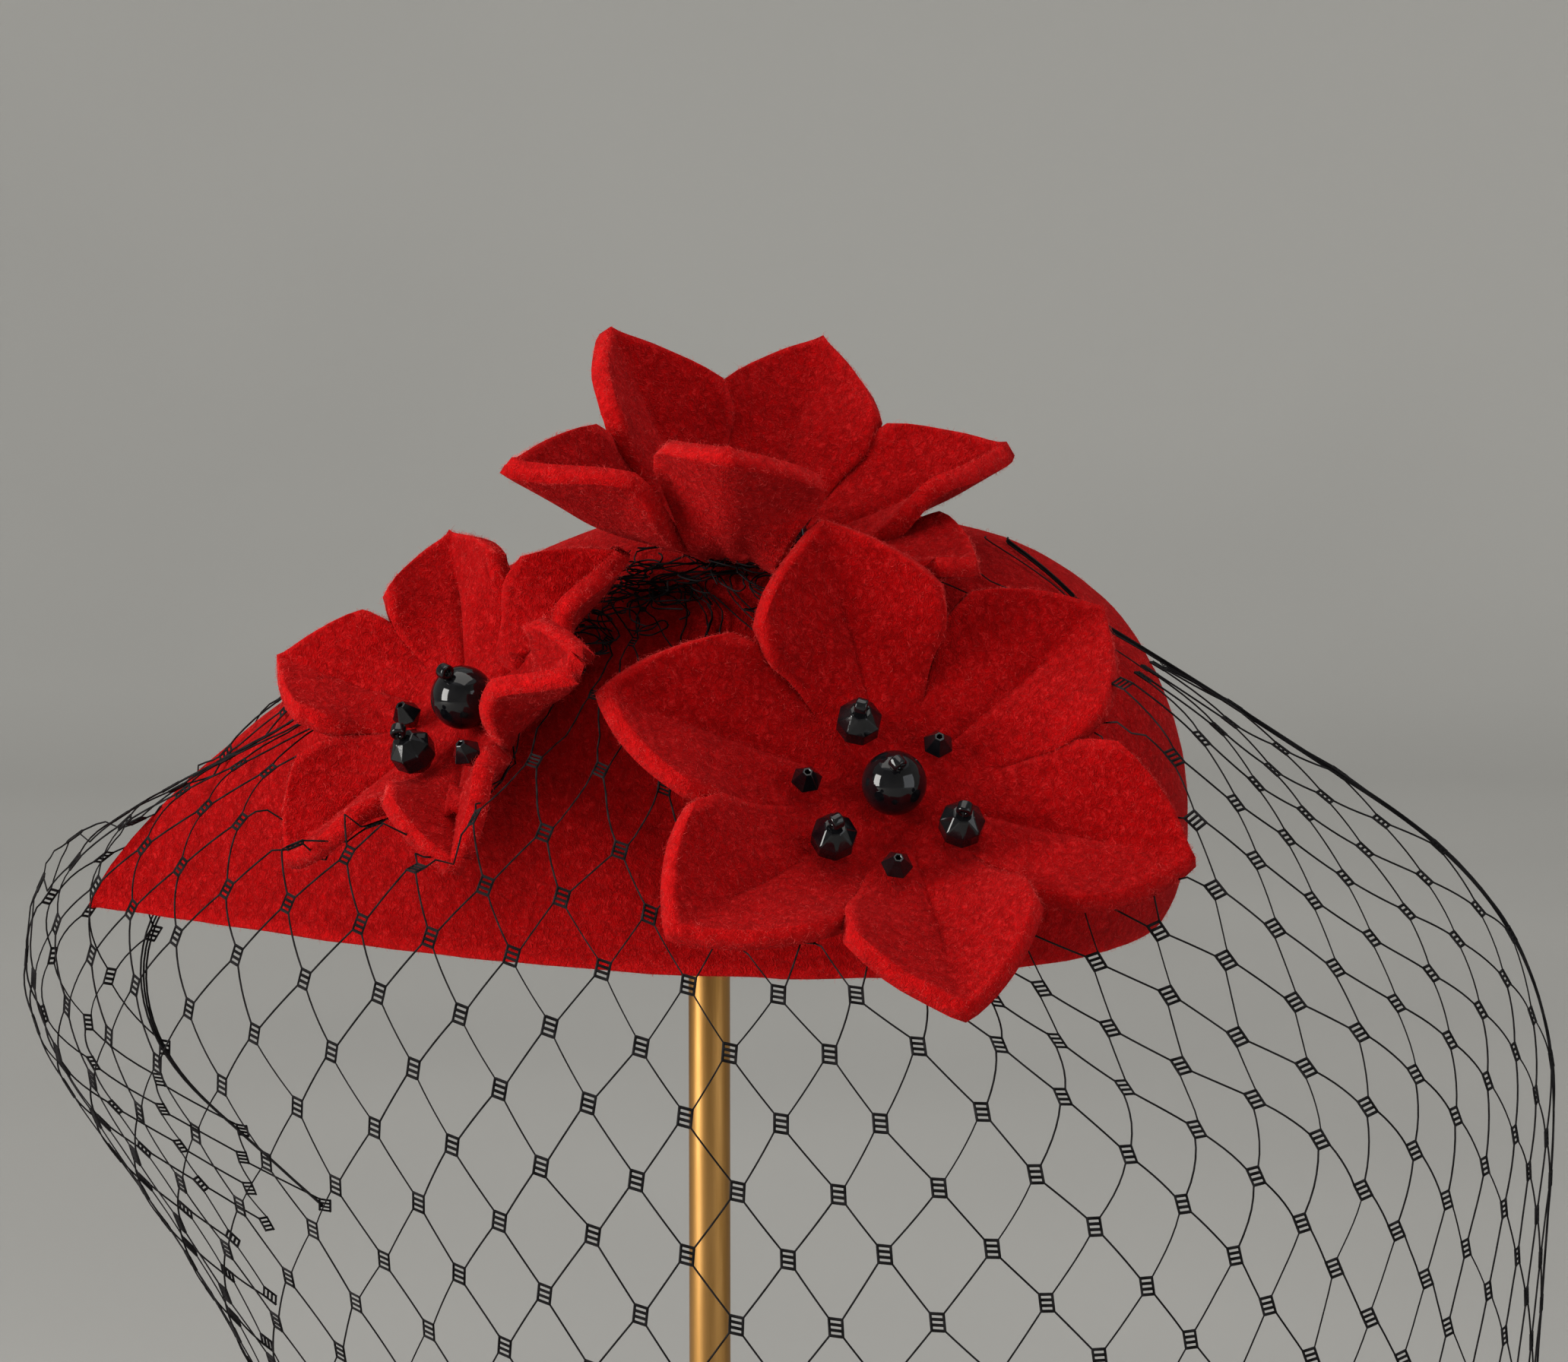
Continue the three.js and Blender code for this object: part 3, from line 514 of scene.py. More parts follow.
def threads_mesh(runs: list[list[Vector]], radius: float, sides: int = 6) -> bpy.types.Mesh:
    """Round threads along runs of points, as one mesh in metres.

    Args:
        runs: the points of each thread, in millimetres.
        radius: the thread's radius in millimetres.
        sides: 4 or 6 sides round each thread.

    Returns:
        The new mesh.
    """
    curve = bpy.data.curves.new("threads", "CURVE")
    curve.dimensions = "3D"
    curve.bevel_depth = radius * MM
    curve.bevel_resolution = (sides - 4) // 2
    curve.use_fill_caps = True
    for run in runs:
        line = curve.splines.new("POLY")
        line.points.add(len(run) - 1)
        spots = [value for p in run for value in (p.x * MM, p.y * MM, p.z * MM, 1.0)]
        line.points.foreach_set("co", spots)
    holder = bpy.data.objects.new("threads", curve)
    bpy.context.scene.collection.objects.link(holder)
    bpy.context.view_layer.update()
    mesh = bpy.data.meshes.new_from_object(holder.evaluated_get(bpy.context.evaluated_depsgraph_get()))
    bpy.data.objects.remove(holder)
    bpy.data.curves.remove(curve)
    return mesh


def spun(profile: Profile, steps: int) -> bmesh.types.BMesh:
    """Turned solid about Z.

    Args:
        profile: pairs of radius and height, from the axis round to the axis.
        steps: how many steps go round.

    Returns:
        The solid, in millimetres, facing out.
    """
    bm = bmesh.new()
    corners = [bm.verts.new((radius, 0.0, height)) for radius, height in profile]
    edges = [bm.edges.new(pair) for pair in zip(corners, corners[1:])]
    bmesh.ops.spin(
        bm, geom=corners + edges, cent=(0, 0, 0), axis=(0, 0, 1), angle=math.tau, steps=steps,
        use_merge=True,
    )
    bmesh.ops.remove_doubles(bm, verts=bm.verts[:], dist=1e-4)
    bmesh.ops.recalc_face_normals(bm, faces=bm.faces[:])
    return bm


def arc(centre: tuple[float, float], radius: float, start: float, end: float, steps: int) -> Profile:
    """Points of a profile's arc.

    Args:
        centre: the arc's centre, as radius from the axis and height.
        radius: the arc's own radius.
        start: its first angle in degrees.
        end: its last angle in degrees.
        steps: how many chords it has.

    Returns:
        The arc's points.
    """
    angles = [math.radians(lerp(start, end, k / steps)) for k in range(steps + 1)]
    return [(centre[0] + radius * math.cos(a), centre[1] + radius * math.sin(a)) for a in angles]


@dataclass(frozen=True)
class CrownShape:
    """Teardrop dome. Heights are above the rim. The taper draws the plan out to a point at the rim,
    and the three fullness values set how square the section is at the point, sides and round end."""

    point_x: float = -83.0
    end_x: float = 59.5
    half_width: float = 42.8
    taper: float = 1.4
    oval_from: float = 0.7
    height: float = 54.0
    apex_x: float = -4.0
    point_fullness: float = 1.32
    side_fullness: float = 2.55
    end_fullness: float = 3.55
    overhang: float = 0.1
    belly_height: float = 9.0
    rim_dip: float = 1.2

    def point(self, angle: float, level: float) -> Vector:
        """Point of the dome.

        Args:
            angle: angle round the dome, from 0 at its point to pi at its round end.
            level: height share from 0 at the rim to 1 at the top.

        Returns:
            The point, in the frame.
        """
        def share(fullness: float) -> float:
            """How far the section reaches out at this level, as a share of its reach at the rim."""
            return max(0.0, 1 - level**fullness) ** (1 / fullness)

        back = (self.point_x - self.apex_x) * share(self.point_fullness)
        front = (self.end_x - self.apex_x) * share(self.end_fullness)
        taper = self.taper * (1 - smoothstep(level, 0, self.oval_from))
        power = taper + 1
        widest = 2 * math.sqrt(1 / (power + 1)) * (power / (power + 1)) ** (power / 2)
        half_width = self.half_width * share(self.side_fullness)
        x = (front + back) / 2 - ((front - back) / 2) * math.cos(angle)
        y = -(half_width / widest) * math.sin(angle) * abs(math.sin(angle / 2)) ** taper
        height = self.height * level
        round_end = (1 - math.cos(angle)) / 2
        belly = 1 + self.overhang * round_end * (1 - math.exp(-height / self.belly_height)) * (1 - level)
        dip = self.rim_dip * math.sin(angle) ** 2 * (1 - level) ** 6
        return Vector((self.apex_x + x * belly, y * belly, RIM_HEIGHT + height - dip))


@dataclass
class FeltCrown:
    """Blocked felt crown: an outer and an inner dome joined round a softly rounded rim."""

    outer: CrownShape = field(default_factory=CrownShape)
    columns: int = 128
    rings: int = 44
    tip_felt: float = 5.5
    rim_round: float = 0.7
    unevenness: float = 0.22
    patch: float = 9.0
    fine_patch_share: float = 0.3
    fine_height_share: float = 0.4

    def dome(self, shape: CrownShape) -> bmesh.types.BMesh:
        """Half a sphere shaped to the crown.

        Args:
            shape: the dome's shape.

        Returns:
            The dome, facing out, in millimetres.
        """
        bm = bmesh.new()
        bmesh.ops.create_uvsphere(bm, u_segments=self.columns, v_segments=2 * self.rings, radius=1.0)
        everything = bm.verts[:] + bm.edges[:] + bm.faces[:]
        bmesh.ops.bisect_plane(
            bm, geom=everything, plane_co=(0, 0, 0), plane_no=(0, 0, 1), clear_inner=True, dist=1e-6,
        )
        for vert in bm.verts:
            level = min(1.0, max(0.0, vert.co.z))
            vert.co = shape.point(math.atan2(-vert.co.y, -vert.co.x), level)
        return bm

    def surface(self) -> BVHTree:
        """The outer dome, for keeping other pieces clear of it.

        Returns:
            A tree of its faces.
        """
        bm = self.dome(self.outer)
        bm.normal_update()
        tree = BVHTree.FromBMesh(bm)
        bm.free()
        return tree

    def build(self, material: bpy.types.Material) -> bpy.types.Object:
        """Builds the crown.

        Args:
            material: the felt.

        Returns:
            The crown's piece.
        """
        inner_shape = replace(
            self.outer, point_x=self.outer.point_x + self.tip_felt, end_x=self.outer.end_x - FELT,
            half_width=self.outer.half_width - FELT, height=self.outer.height - FELT,
        )
        inner = self.dome(inner_shape)
        bmesh.ops.reverse_faces(inner, faces=inner.faces[:])
        holder = bpy.data.meshes.new("inner_dome")
        inner.to_mesh(holder)
        inner.free()
        bm = self.dome(self.outer)
        bm.from_mesh(holder)
        bpy.data.meshes.remove(holder)
        rims = [edge for edge in bm.edges if edge.is_boundary]
        bridge = bmesh.ops.bridge_loops(bm, edges=rims)
        bmesh.ops.recalc_face_normals(bm, faces=bm.faces[:])
        # The rim's cut edge share places the felt's painted highlight and its denser fibres.
        edge_layer = bm.verts.layers.float.new("cut_edge")
        for vert in {v for face in bridge["faces"] for v in face.verts}:
            vert[edge_layer] = 1.0
        bmesh.ops.bevel(
            bm, geom=rims, offset=self.rim_round, offset_type="OFFSET", segments=3, profile=0.5,
            affect="EDGES", clamp_overlap=True, material=-1,
        )
        bm.normal_update()
        for vert in bm.verts:
            fine = noise.noise(vert.co / (self.fine_patch_share * self.patch))
            push = noise.noise(vert.co / self.patch) + self.fine_height_share * fine
            vert.co += vert.normal * self.unevenness * push
        piece = finished("crown_felt", mesh_of(bm), material, Slot.FELT)
        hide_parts("crown")
        return piece


@dataclass(frozen=True)
class Petal:
    """A petal: its swing from the even sixth in degrees, its reach, its tip's rise and the angle in
    degrees at which its halves fold up from its midline."""

    swing: float
    reach: float
    rise: float
    fold: float


@dataclass(frozen=True)
class FlowerPlan:
    """A flower's place: its centre, the tilt of its axis, the way it faces, its first petal's turn and
    the flowers that it is pressed under."""

    name: str
    x: float
    y: float
    z: float
    tilt: float
    facing: float
    turn: float
    radius: float
    petals: tuple[Petal, ...]
    under: tuple[str, ...] = ()

    def frame(self) -> Matrix:
        """The flower's own frame, with its axis along Z.

        Returns:
            The turn and shift from the flower's frame to the part's.
        """
        tilt, facing = math.radians(self.tilt), math.radians(self.facing)
        level = math.sin(tilt)
        axis = Vector((level * math.cos(facing), level * math.sin(facing), math.cos(tilt)))
        right = Vector((0, 0, 1)).cross(axis).normalized()
        up = axis.cross(right)
        turned = Matrix((right, up, axis)).transposed().to_4x4()
        return Matrix.Translation((self.x, self.y, RIM_HEIGHT + self.z)) @ turned


FLOWERS = (
    FlowerPlan("flower_front", 25.9, -46.0, 22.6, 52.4, -82.0, 102.0, 37.0, (
        Petal(2, 32.8, 13.4, 20), Petal(-1, 36.8, 4.0, 22), Petal(0, 38.0, 3.4, 20),
        Petal(-3, 36.5, 11.6, 22), Petal(-2, 37.8, 10.6, 24), Petal(3, 37.4, 9.8, 24),
    )),
    FlowerPlan("flower_left", -27.8, -35.2, 30.8, 43.4, -123.0, 179.0, 28.2, (
        Petal(0, 27.6, 7.0, 25), Petal(0, 28.0, 5.8, 35), Petal(0, 28.0, 5.4, 45),
        Petal(0, 27.6, 12.5, 55), Petal(0, 28.4, 1.6, 45), Petal(3, 29.2, 0.0, 30),
    )),
    FlowerPlan("flower_top", 6.9, -21.5, 50.6, 18.0, -61.0, 113.0, 34.0, (
        Petal(0, 29.4, 19.6, 25), Petal(-1, 30.3, 18.8, 22), Petal(0, 33.3, 14.0, 32),
        Petal(15, 31.0, 7.4, 16), Petal(-1, 24.6, 21.5, 26), Petal(2, 34.0, 11.6, 40),
    ), under=("flower_front",)),
)


@dataclass
class FeltFlower:
    """Flower cut from one piece of felt: six petals joined round the centre, each folded up along its
    midline. The outline is a petal's half width, as a share of the radius, from its slit to its
    shoulders, and two slightly bowed edges run on from there to the tip. Places along a petal are
    shares of its way from slit to tip, but the pinch's are shares of its reach, and slopes are
    millimetres a millimetre."""

    plan: FlowerPlan
    petals: int = 6
    slit_start: float = 0.3
    slit_opening: float = 0.1
    swing_by: float = 2 / 3
    parting: float = 0.35
    fold_by: float = 0.55
    crease_radius: float = 0.9
    edge_curl: float = 0.7
    curl_from: float = 0.55
    curl_by: float = 0.3
    rise_power: float = 1.7
    shoulder: float = 0.54
    outline_half: tuple[float, ...] = (0.173, 0.252, 0.322, 0.342)
    tip_bow: float = 0.4
    bow_power: float = 3.5
    widest_sector: tuple[float, float] = (0.98, 1.25)
    sector_ease: tuple[float, float] = (0.15, 0.5)
    pinch_depth: float = 0.75
    pinch_width: float = 0.9
    pinch_from: float = 0.16
    pinch_to: float = 0.9
    pinch_ramp: float = 0.15
    pinch_fade: float = 0.3
    cut_from: float = 0.88
    cut_slit_ease: float = 0.12
    cut_tip: float = 0.95
    felt_slope: float = 5.0
    net_slope: float = 2.0
    pressed_reach: float = 16.0
    pressed_gap: float = 0.6
    least_press: float = 0.01
    smoothings: int = 4
    rows: int = 32
    disc_rows: int = 8
    columns: int = 18
    edge_round: float = 0.5
    unevenness: float = 0.3
    patch: float = 7.0

    def midline(self, petal: int, out: float) -> float:
        """Height of a petal's midline over the flower's plane at a distance out."""
        row = self.plan.petals[petal % self.petals]
        return row.rise * abs(out / row.reach) ** self.rise_power

    def half_width(self, past: float, out: float) -> float:
        """Half width of a petal.

        Args:
            past: share of the way from slit to tip, under 0 on the disc.
            out: distance from the flower's centre.

        Returns:
            The half width in millimetres, measured along the felt.
        """
        sector = out * math.tan(math.pi / self.petals)
        if past <= 0:
            return sector
        side = spline(self.outline_half, min(1.0, past / self.shoulder) * (len(self.outline_half) - 1))
        tip = min(1.0, max(0.0, (1 - past) / (1 - self.shoulder)))
        widest = lerp(*self.widest_sector, smoothstep(past, *self.sector_ease))
        room = lerp(1.0, widest, min(1.0, past / self.slit_opening))
        return min(side * tip * self.plan.radius, sector * room)

    def fold(self, petal: int, past: float) -> float:
        """Angle at which a petal's halves stand up at a share of its way from slit to tip."""
        return math.radians(self.plan.petals[petal % self.petals].fold) * smoothstep(past, 0, self.fold_by)

    def lift(self, along_felt: float, fold: float) -> float:
        """Height that a fold adds at a distance along the felt from the midline."""
        return (math.hypot(along_felt, self.crease_radius) - self.crease_radius) * math.sin(fold)

    def pinch(self, out_share: float, across: float) -> float:
        """Depth of the crease pressed along a petal's midline.

        Args:
            out_share: distance from the flower's centre, as a share of the petal's reach.
            across: distance from the midline in millimetres.

        Returns:
            How far the felt is drawn in there.
        """
        ramp = smoothstep(out_share, self.pinch_from, self.pinch_from + self.pinch_ramp)
        fade = 1 - smoothstep(out_share, self.pinch_to - self.pinch_fade, self.pinch_to)
        return self.pinch_depth * ramp * fade * math.exp(-((across / self.pinch_width) ** 2))

    def point(self, petal: int, row: float, side: float) -> Vector:
        """Point of a petal's middle surface.

        Args:
            petal: the petal's number.
            row: place along the petal, from -1 at the centre and 0 at the slit to 1 at the tip's edges.
            side: place across the petal, from -1 to 1.

        Returns:
            The point in the flower's frame.
        """
        plan = self.plan
        given = plan.petals[petal]
        slit = self.slit_start * plan.radius
        flare = max(0.0, row)
        bow = lerp(abs(side), abs(side) ** self.bow_power, self.tip_bow)
        past = flare * (1 - (1 - self.shoulder) * bow * flare)
        out = lerp(slit, given.reach, past) if row > 0 else slit * (1 + row)
        side_past = flare * (1 - (1 - self.shoulder) * flare)
        side_out = lerp(slit, given.reach, side_past) if row > 0 else out
        half = self.half_width(min(side_past, self.shoulder), side_out)
        own = self.midline(petal, out)
        beside = self.midline(petal - int(math.copysign(1, side)), out)
        shared = max(0.0, 1 - past / self.parting) * side * side
        fold = self.fold(petal, past)
        across = side * half * math.cos(fold)
        curl = self.edge_curl * smoothstep(abs(side), self.curl_from, 1.0)
        curl *= smoothstep(past, 0.0, self.curl_by)
        lift = self.lift(side * half, fold)
        slope = math.atan(self.rise_power * own / out) * (1 - shared) if out > 0 else 0.0
        height = lerp(own, (own + beside) / 2, shared) + lift * math.cos(slope) + curl
        height -= self.pinch(out / given.reach, across)
        out -= lift * math.sin(slope)
        swing = given.swing * min(1.0, past / self.swing_by)
        angle = math.radians(plan.turn - petal * 360 / self.petals + swing)
        return Vector((
            out * math.cos(angle) - across * math.sin(angle),
            out * math.sin(angle) + across * math.cos(angle),
            height,
        ))

    def underside(self, point: Vector, clearance: float, slope: float) -> Vector:
        """Point pressed down below the petals where it lies in them or a little over them.

        Past a petal's outline the pressing eases off on a slope, so what is pressed stays smooth.

        Args:
            point: the point, in the frame.
            clearance: how far below the petals' middle surface it stays.
            slope: how fast the pressing eases off past an outline, in millimetres a millimetre.

        Returns:
            The point, or the pressed point.
        """
        place = self.plan.frame()
        local = place.inverted() @ point
        reach = math.hypot(local.x, local.y)
        bearing = math.degrees(math.atan2(local.y, local.x))
        number = (self.plan.turn - bearing) / (360 / self.petals)
        slit = self.slit_start * self.plan.radius
        ceilings = []
        for near in (-1, 0, 1):
            petal = round(number) + near
            row = self.plan.petals[petal % self.petals]
            off = math.radians((number - petal) * 360 / self.petals + row.swing)
            out, across = reach * math.cos(off), abs(reach * math.sin(off))
            inside = min(max(out, 0.0), row.reach)
            past = (inside - slit) / (row.reach - slit)
            half = self.half_width(past, inside)
            fold = self.fold(petal, past)
            beyond = max(0.0, out - row.reach) + max(0.0, across - half * math.cos(fold))
            lift = self.lift(min(across / math.cos(fold), half), fold)
            ceilings.append(self.midline(petal, inside) + lift + slope * beyond)
        above = local.z - min(ceilings) + clearance
        if above > 0:
            local.z -= above * (1 - smoothstep(above, self.pressed_reach, 2 * self.pressed_reach))
        return place @ local

    def add_petal(self, bm: bmesh.types.BMesh, petal: int) -> None:
        """Adds one petal's middle surface, from the flower's centre to the petal's tip.

        Args:
            bm: the flower's bmesh, with a cut_edge layer.
            petal: the petal's number.
        """
        edge_layer = bm.verts.layers.float["cut_edge"]
        disc_share = self.disc_rows / self.rows
        made = bmesh.ops.create_grid(bm, x_segments=self.rows, y_segments=self.columns, size=1.0)
        for vert in made["verts"]:
            along, side = (vert.co.x + 1) / 2, -vert.co.y
            beyond = (along - disc_share) / (1 - disc_share)
            row = beyond if beyond > 1e-6 else min(0.0, along / disc_share - 1)
            vert.co = self.point(petal, row, side)
            # The cut edge share along the sides and tip places the felt's painted highlight and its denser
            # fibres.
            near_side = smoothstep(abs(side), self.cut_from, 1.0)
            near_side *= smoothstep(beyond, 0.0, self.cut_slit_ease)
            vert[edge_layer] = max(near_side, smoothstep(beyond, self.cut_tip, 1.0))

    def press(self, bm: bmesh.types.BMesh, over: list["FeltFlower"]) -> None:
        """Presses the middle surface under other flowers and smooths what it moved.

        Args:
            bm: the flower's middle surface, in the flower's frame.
            over: the flowers that lie over this one.
        """
        place = self.plan.frame()
        home = place.inverted()
        pressed = []
        for vert in bm.verts:
            free = place @ vert.co
            under = free
            for flower in over:
                under = flower.underside(under, FELT + self.pressed_gap, self.felt_slope)
            if (under - free).length > self.least_press:
                vert.co = home @ under
                pressed.append(vert)
        for _ in range(self.smoothings):
            bmesh.ops.smooth_vert(
                bm, verts=pressed, factor=0.5, use_axis_x=True, use_axis_y=True, use_axis_z=True,
            )

    def thicken(self, bm: bmesh.types.BMesh) -> None:
        """Gives the middle surface a little unevenness and the felt's thickness, and rounds its rims.

        Args:
            bm: the flower's middle surface.
        """
        bm.normal_update()
        for vert in bm.verts:
            push = self.unevenness * noise.noise(vert.co / self.patch + Vector((self.plan.x, 0, 0)))
            vert.co += vert.normal * (FELT / 2 + push)
        bm.normal_update()
        depth = bm.verts.layers.float_vector.new("depth")
        for vert in bm.verts:
            vert[depth] = vert.normal * -FELT
        wall = bmesh.ops.extrude_face_region(bm, geom=bm.faces[:], use_keep_orig=True)
        back = {vert for vert in wall["geom"] if isinstance(vert, bmesh.types.BMVert)}
        for vert in back:
            vert.co += vert[depth]
        bm.verts.layers.float_vector.remove(depth)
        bmesh.ops.recalc_face_normals(bm, faces=bm.faces[:])
        cut = {face for face in bm.faces if len({vert in back for vert in face.verts}) == 2}
        rims = [edge for edge in bm.edges if len(cut.intersection(edge.link_faces)) == 1]
        bmesh.ops.bevel(
            bm, geom=rims, offset=self.edge_round, offset_type="OFFSET", segments=3, profile=0.5,
            affect="EDGES", clamp_overlap=False, material=-1,
        )

    def build(
        self, crown: BVHTree, over: list["FeltFlower"], material: bpy.types.Material,
    ) -> bpy.types.Object:
        """Builds the flower, seated clear of the crown and pressed under the flowers over it.

        Args:
            crown: the crown's outer surface.
            over: the flowers that lie over this one.
            material: the felt.

        Returns:
            The flower's piece.
        """
        bm = bmesh.new()
        bm.verts.layers.float.new("cut_edge")
        for petal in range(self.petals):
            self.add_petal(bm, petal)
        bmesh.ops.remove_doubles(bm, verts=bm.verts[:], dist=5e-3)
        bmesh.ops.recalc_face_normals(bm, faces=bm.faces[:])
        if sum(face.normal.z for face in bm.faces) < 0:
            bmesh.ops.reverse_faces(bm, faces=bm.faces[:])
        self.press(bm, over)
        self.thicken(bm)
        bmesh.ops.transform(bm, matrix=self.plan.frame(), verts=bm.verts[:])
        for vert in bm.verts:
            seat, away, _, _ = crown.find_nearest(vert.co)
            depth = (vert.co - seat).dot(away)
            if depth < GAP and vert.co.z > RIM_HEIGHT - FELT:
                vert.co += away * (GAP - depth)
        piece = finished(self.plan.name + "_felt", mesh_of(bm), material, Slot.FELT)
        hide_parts(self.plan.name)
        return piece


class BeadKind(Enum):
    """Kinds of bead, with the diameter of each in millimetres."""

    ROUND = 8.0
    FACETED = 6.0
    BICONE = 4.0
    SEED = 2.0


@dataclass
class BeadCluster:
    """Beads sewn to one flower's centre, the larger ones held by a seed bead across their hole.
    Flats, levels and facet edges are shares of a bead's radius, facet turns are half steps of a
    ring, a bead's own turn is in radians and a seed bead's in degrees."""

    flower: FeltFlower
    hole_radius: float = 0.45
    small_hole_share: float = 0.8
    round_flat: float = 0.985
    facet_sides: int = 8
    facet_levels: tuple[float, ...] = (-0.9, -0.34, 0.34, 0.9)
    facet_turns: tuple[int, ...] = (0, 1, 1, 0)
    cone_sides: int = 6
    cone_levels: tuple[float, ...] = (-0.95, 0.0, 0.95)
    cone_narrowing: float = 0.72
    facet_edge: float = 0.03
    bead_turn: float = 0.7
    seed_length: float = 1.5
    seed_hole: float = 0.42
    seed_round: float = 0.3
    seed_sink: float = 0.12
    seed_first_turn: float = 20.0
    seed_turn: float = 47.0
    thread_radius: float = 0.11
    thread_depth: float = 0.6

    def pierced(self, bm: bmesh.types.BMesh, radius: float) -> None:
        """Drills a bead along Z, between its two flat ends.

        Args:
            bm: the closed bead.
            radius: the hole's radius.
        """
        highest = max(vert.co.z for vert in bm.verts)
        ends = [face for face in bm.faces if abs(abs(face.calc_center_median().z) - highest) < 1e-3]
        width = max(math.hypot(vert.co.x, vert.co.y) for vert in ends[0].verts)
        bmesh.ops.inset_region(bm, faces=ends, thickness=max(0.02, width - radius))
        rims = [edge for face in ends for edge in face.edges]
        bmesh.ops.delete(bm, geom=ends, context="FACES_ONLY")
        bmesh.ops.bridge_loops(bm, edges=rims)
        bmesh.ops.recalc_face_normals(bm, faces=bm.faces[:])

    def bead(self, kind: BeadKind) -> bmesh.types.BMesh:
        """One bead with its hole along Z, centred on the origin.

        Args:
            kind: the bead's kind.

        Returns:
            The bead, in millimetres.
        """
        radius = kind.value / 2
        bm = bmesh.new()
        if kind is BeadKind.ROUND:
            bmesh.ops.create_uvsphere(bm, u_segments=40, v_segments=30, radius=radius)
            for sign in (1, -1):
                everything = bm.verts[:] + bm.edges[:] + bm.faces[:]
                bmesh.ops.bisect_plane(
                    bm, geom=everything, plane_co=(0, 0, sign * self.round_flat * radius),
                    plane_no=(0, 0, sign), clear_outer=True,
                )
            bmesh.ops.holes_fill(bm, edges=[edge for edge in bm.edges if edge.is_boundary])
            self.pierced(bm, self.hole_radius)
            return bm
        self.add_facets(bm, kind)
        self.pierced(bm, self.small_hole_share * self.hole_radius)
        corners = [edge for edge in bm.edges if edge.calc_face_angle(0.0) > 0.2]
        bmesh.ops.bevel(
            bm, geom=corners, offset=self.facet_edge * radius, offset_type="OFFSET", segments=1,
            profile=0.5, affect="EDGES", clamp_overlap=True, material=-1,
        )
        return bm

    def add_facets(self, bm: bmesh.types.BMesh, kind: BeadKind) -> None:
        """Adds a bead cut in flat facets: the hull of rings on a ball or, for a bicone, on two cones.

        Args:
            bm: the bmesh to add to.
            kind: the bead's kind.
        """
        radius = kind.value / 2
        coned = kind is BeadKind.BICONE
        sides = self.cone_sides if coned else self.facet_sides
        levels = self.cone_levels if coned else self.facet_levels
        turns = (0,) * len(levels) if coned else self.facet_turns
        for level, half_steps in zip(levels, turns):
            share = 1 - self.cone_narrowing * abs(level) if coned else math.sqrt(1 - level * level)
            turn = math.pi / sides * half_steps
            spot = Matrix.Translation((0, 0, level * radius)) @ Matrix.Rotation(turn, 4, "Z")
            bmesh.ops.create_circle(bm, segments=sides, radius=radius * share, matrix=spot, cap_ends=False)
        bmesh.ops.convex_hull(bm, input=bm.verts[:])
        bmesh.ops.dissolve_limit(bm, angle_limit=math.radians(1.0), verts=bm.verts[:], edges=bm.edges[:])
        bmesh.ops.recalc_face_normals(bm, faces=bm.faces[:])

    def seed(self) -> bmesh.types.BMesh:
        """Seed bead: a short rounded tube along Z.

        Returns:
            The bead, in millimetres.
        """
        ring, half, soft = BeadKind.SEED.value / 2, self.seed_length / 2, self.seed_round
        upper = arc((ring - soft, half - soft), soft, 90, 0, 4)
        lower = arc((ring - soft, soft - half), soft, 0, -90, 4)
        bore = [(self.seed_hole, -half), (self.seed_hole, half)]
        return spun([(self.seed_hole, half)] + upper + lower + bore, 20)

    def build(self, glass: bpy.types.Material, thread: bpy.types.Material) -> list[bpy.types.Object]:
        """Builds the cluster around the frame's bead nodes.

        Args:
            glass: the beads' material.
            thread: the sewing thread's material.

        Returns:
            The cluster's pieces.
        """
        plan = self.flower.plan
        upright = plan.frame().to_3x3().to_4x4()
        pieces = []
        seeds = bmesh.new()
        stitches = []
        nodes = sorted(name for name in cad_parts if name.startswith(plan.name + "_bead_"))
        for number, node in enumerate(nodes):
            kind = BeadKind[node.split("_bead_")[1].split("_")[0].upper()]
            low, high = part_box(node)
            centre = (low + high) / (2 * MM)
            spin = Matrix.Rotation(self.bead_turn * number, 4, "Z")
            bm = self.bead(kind)
            spot = Matrix.Translation(centre) @ upright
            bmesh.ops.transform(bm, matrix=spot @ spin, verts=bm.verts[:])
            name = node.replace("_bead", "_glass")
            piece = finished(name, mesh_of(bm, smooth=kind is BeadKind.ROUND), glass, Slot.BEAD)
            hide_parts(node)
            pieces.append(piece)
            if kind is not BeadKind.BICONE:
                turn = math.radians(self.seed_first_turn + self.seed_turn * number)
                on_top = Matrix.Translation((0, 0, (kind.value + BeadKind.SEED.value) / 2 - self.seed_sink))
                seat = spot @ Matrix.Rotation(turn, 4, "Z") @ on_top
                self.add_seed(seeds, seat)
                stitches.append(self.stitch(seat))
        pieces.append(finished(plan.name + "_seed_beads", mesh_of(seeds), glass, Slot.BEAD))
        stitch_mesh = threads_mesh(stitches, self.thread_radius)
        pieces.append(finished(plan.name + "_stitches", stitch_mesh, thread, Slot.NET))
        return pieces

    def add_seed(self, seeds: bmesh.types.BMesh, seat: Matrix) -> None:
        """Adds a seed bead that lies on top of a bead.

        Args:
            seeds: the bmesh of the cluster's seed beads.
            seat: the seed bead's frame, with its hole along X.
        """
        lying = Matrix.Rotation(math.radians(90), 4, "Y")
        bm = self.seed()
        bmesh.ops.transform(bm, matrix=seat @ lying, verts=bm.verts[:])
        holder = bpy.data.meshes.new("seed")
        bm.to_mesh(holder)
        bm.free()
        seeds.from_mesh(holder)
        bpy.data.meshes.remove(holder)

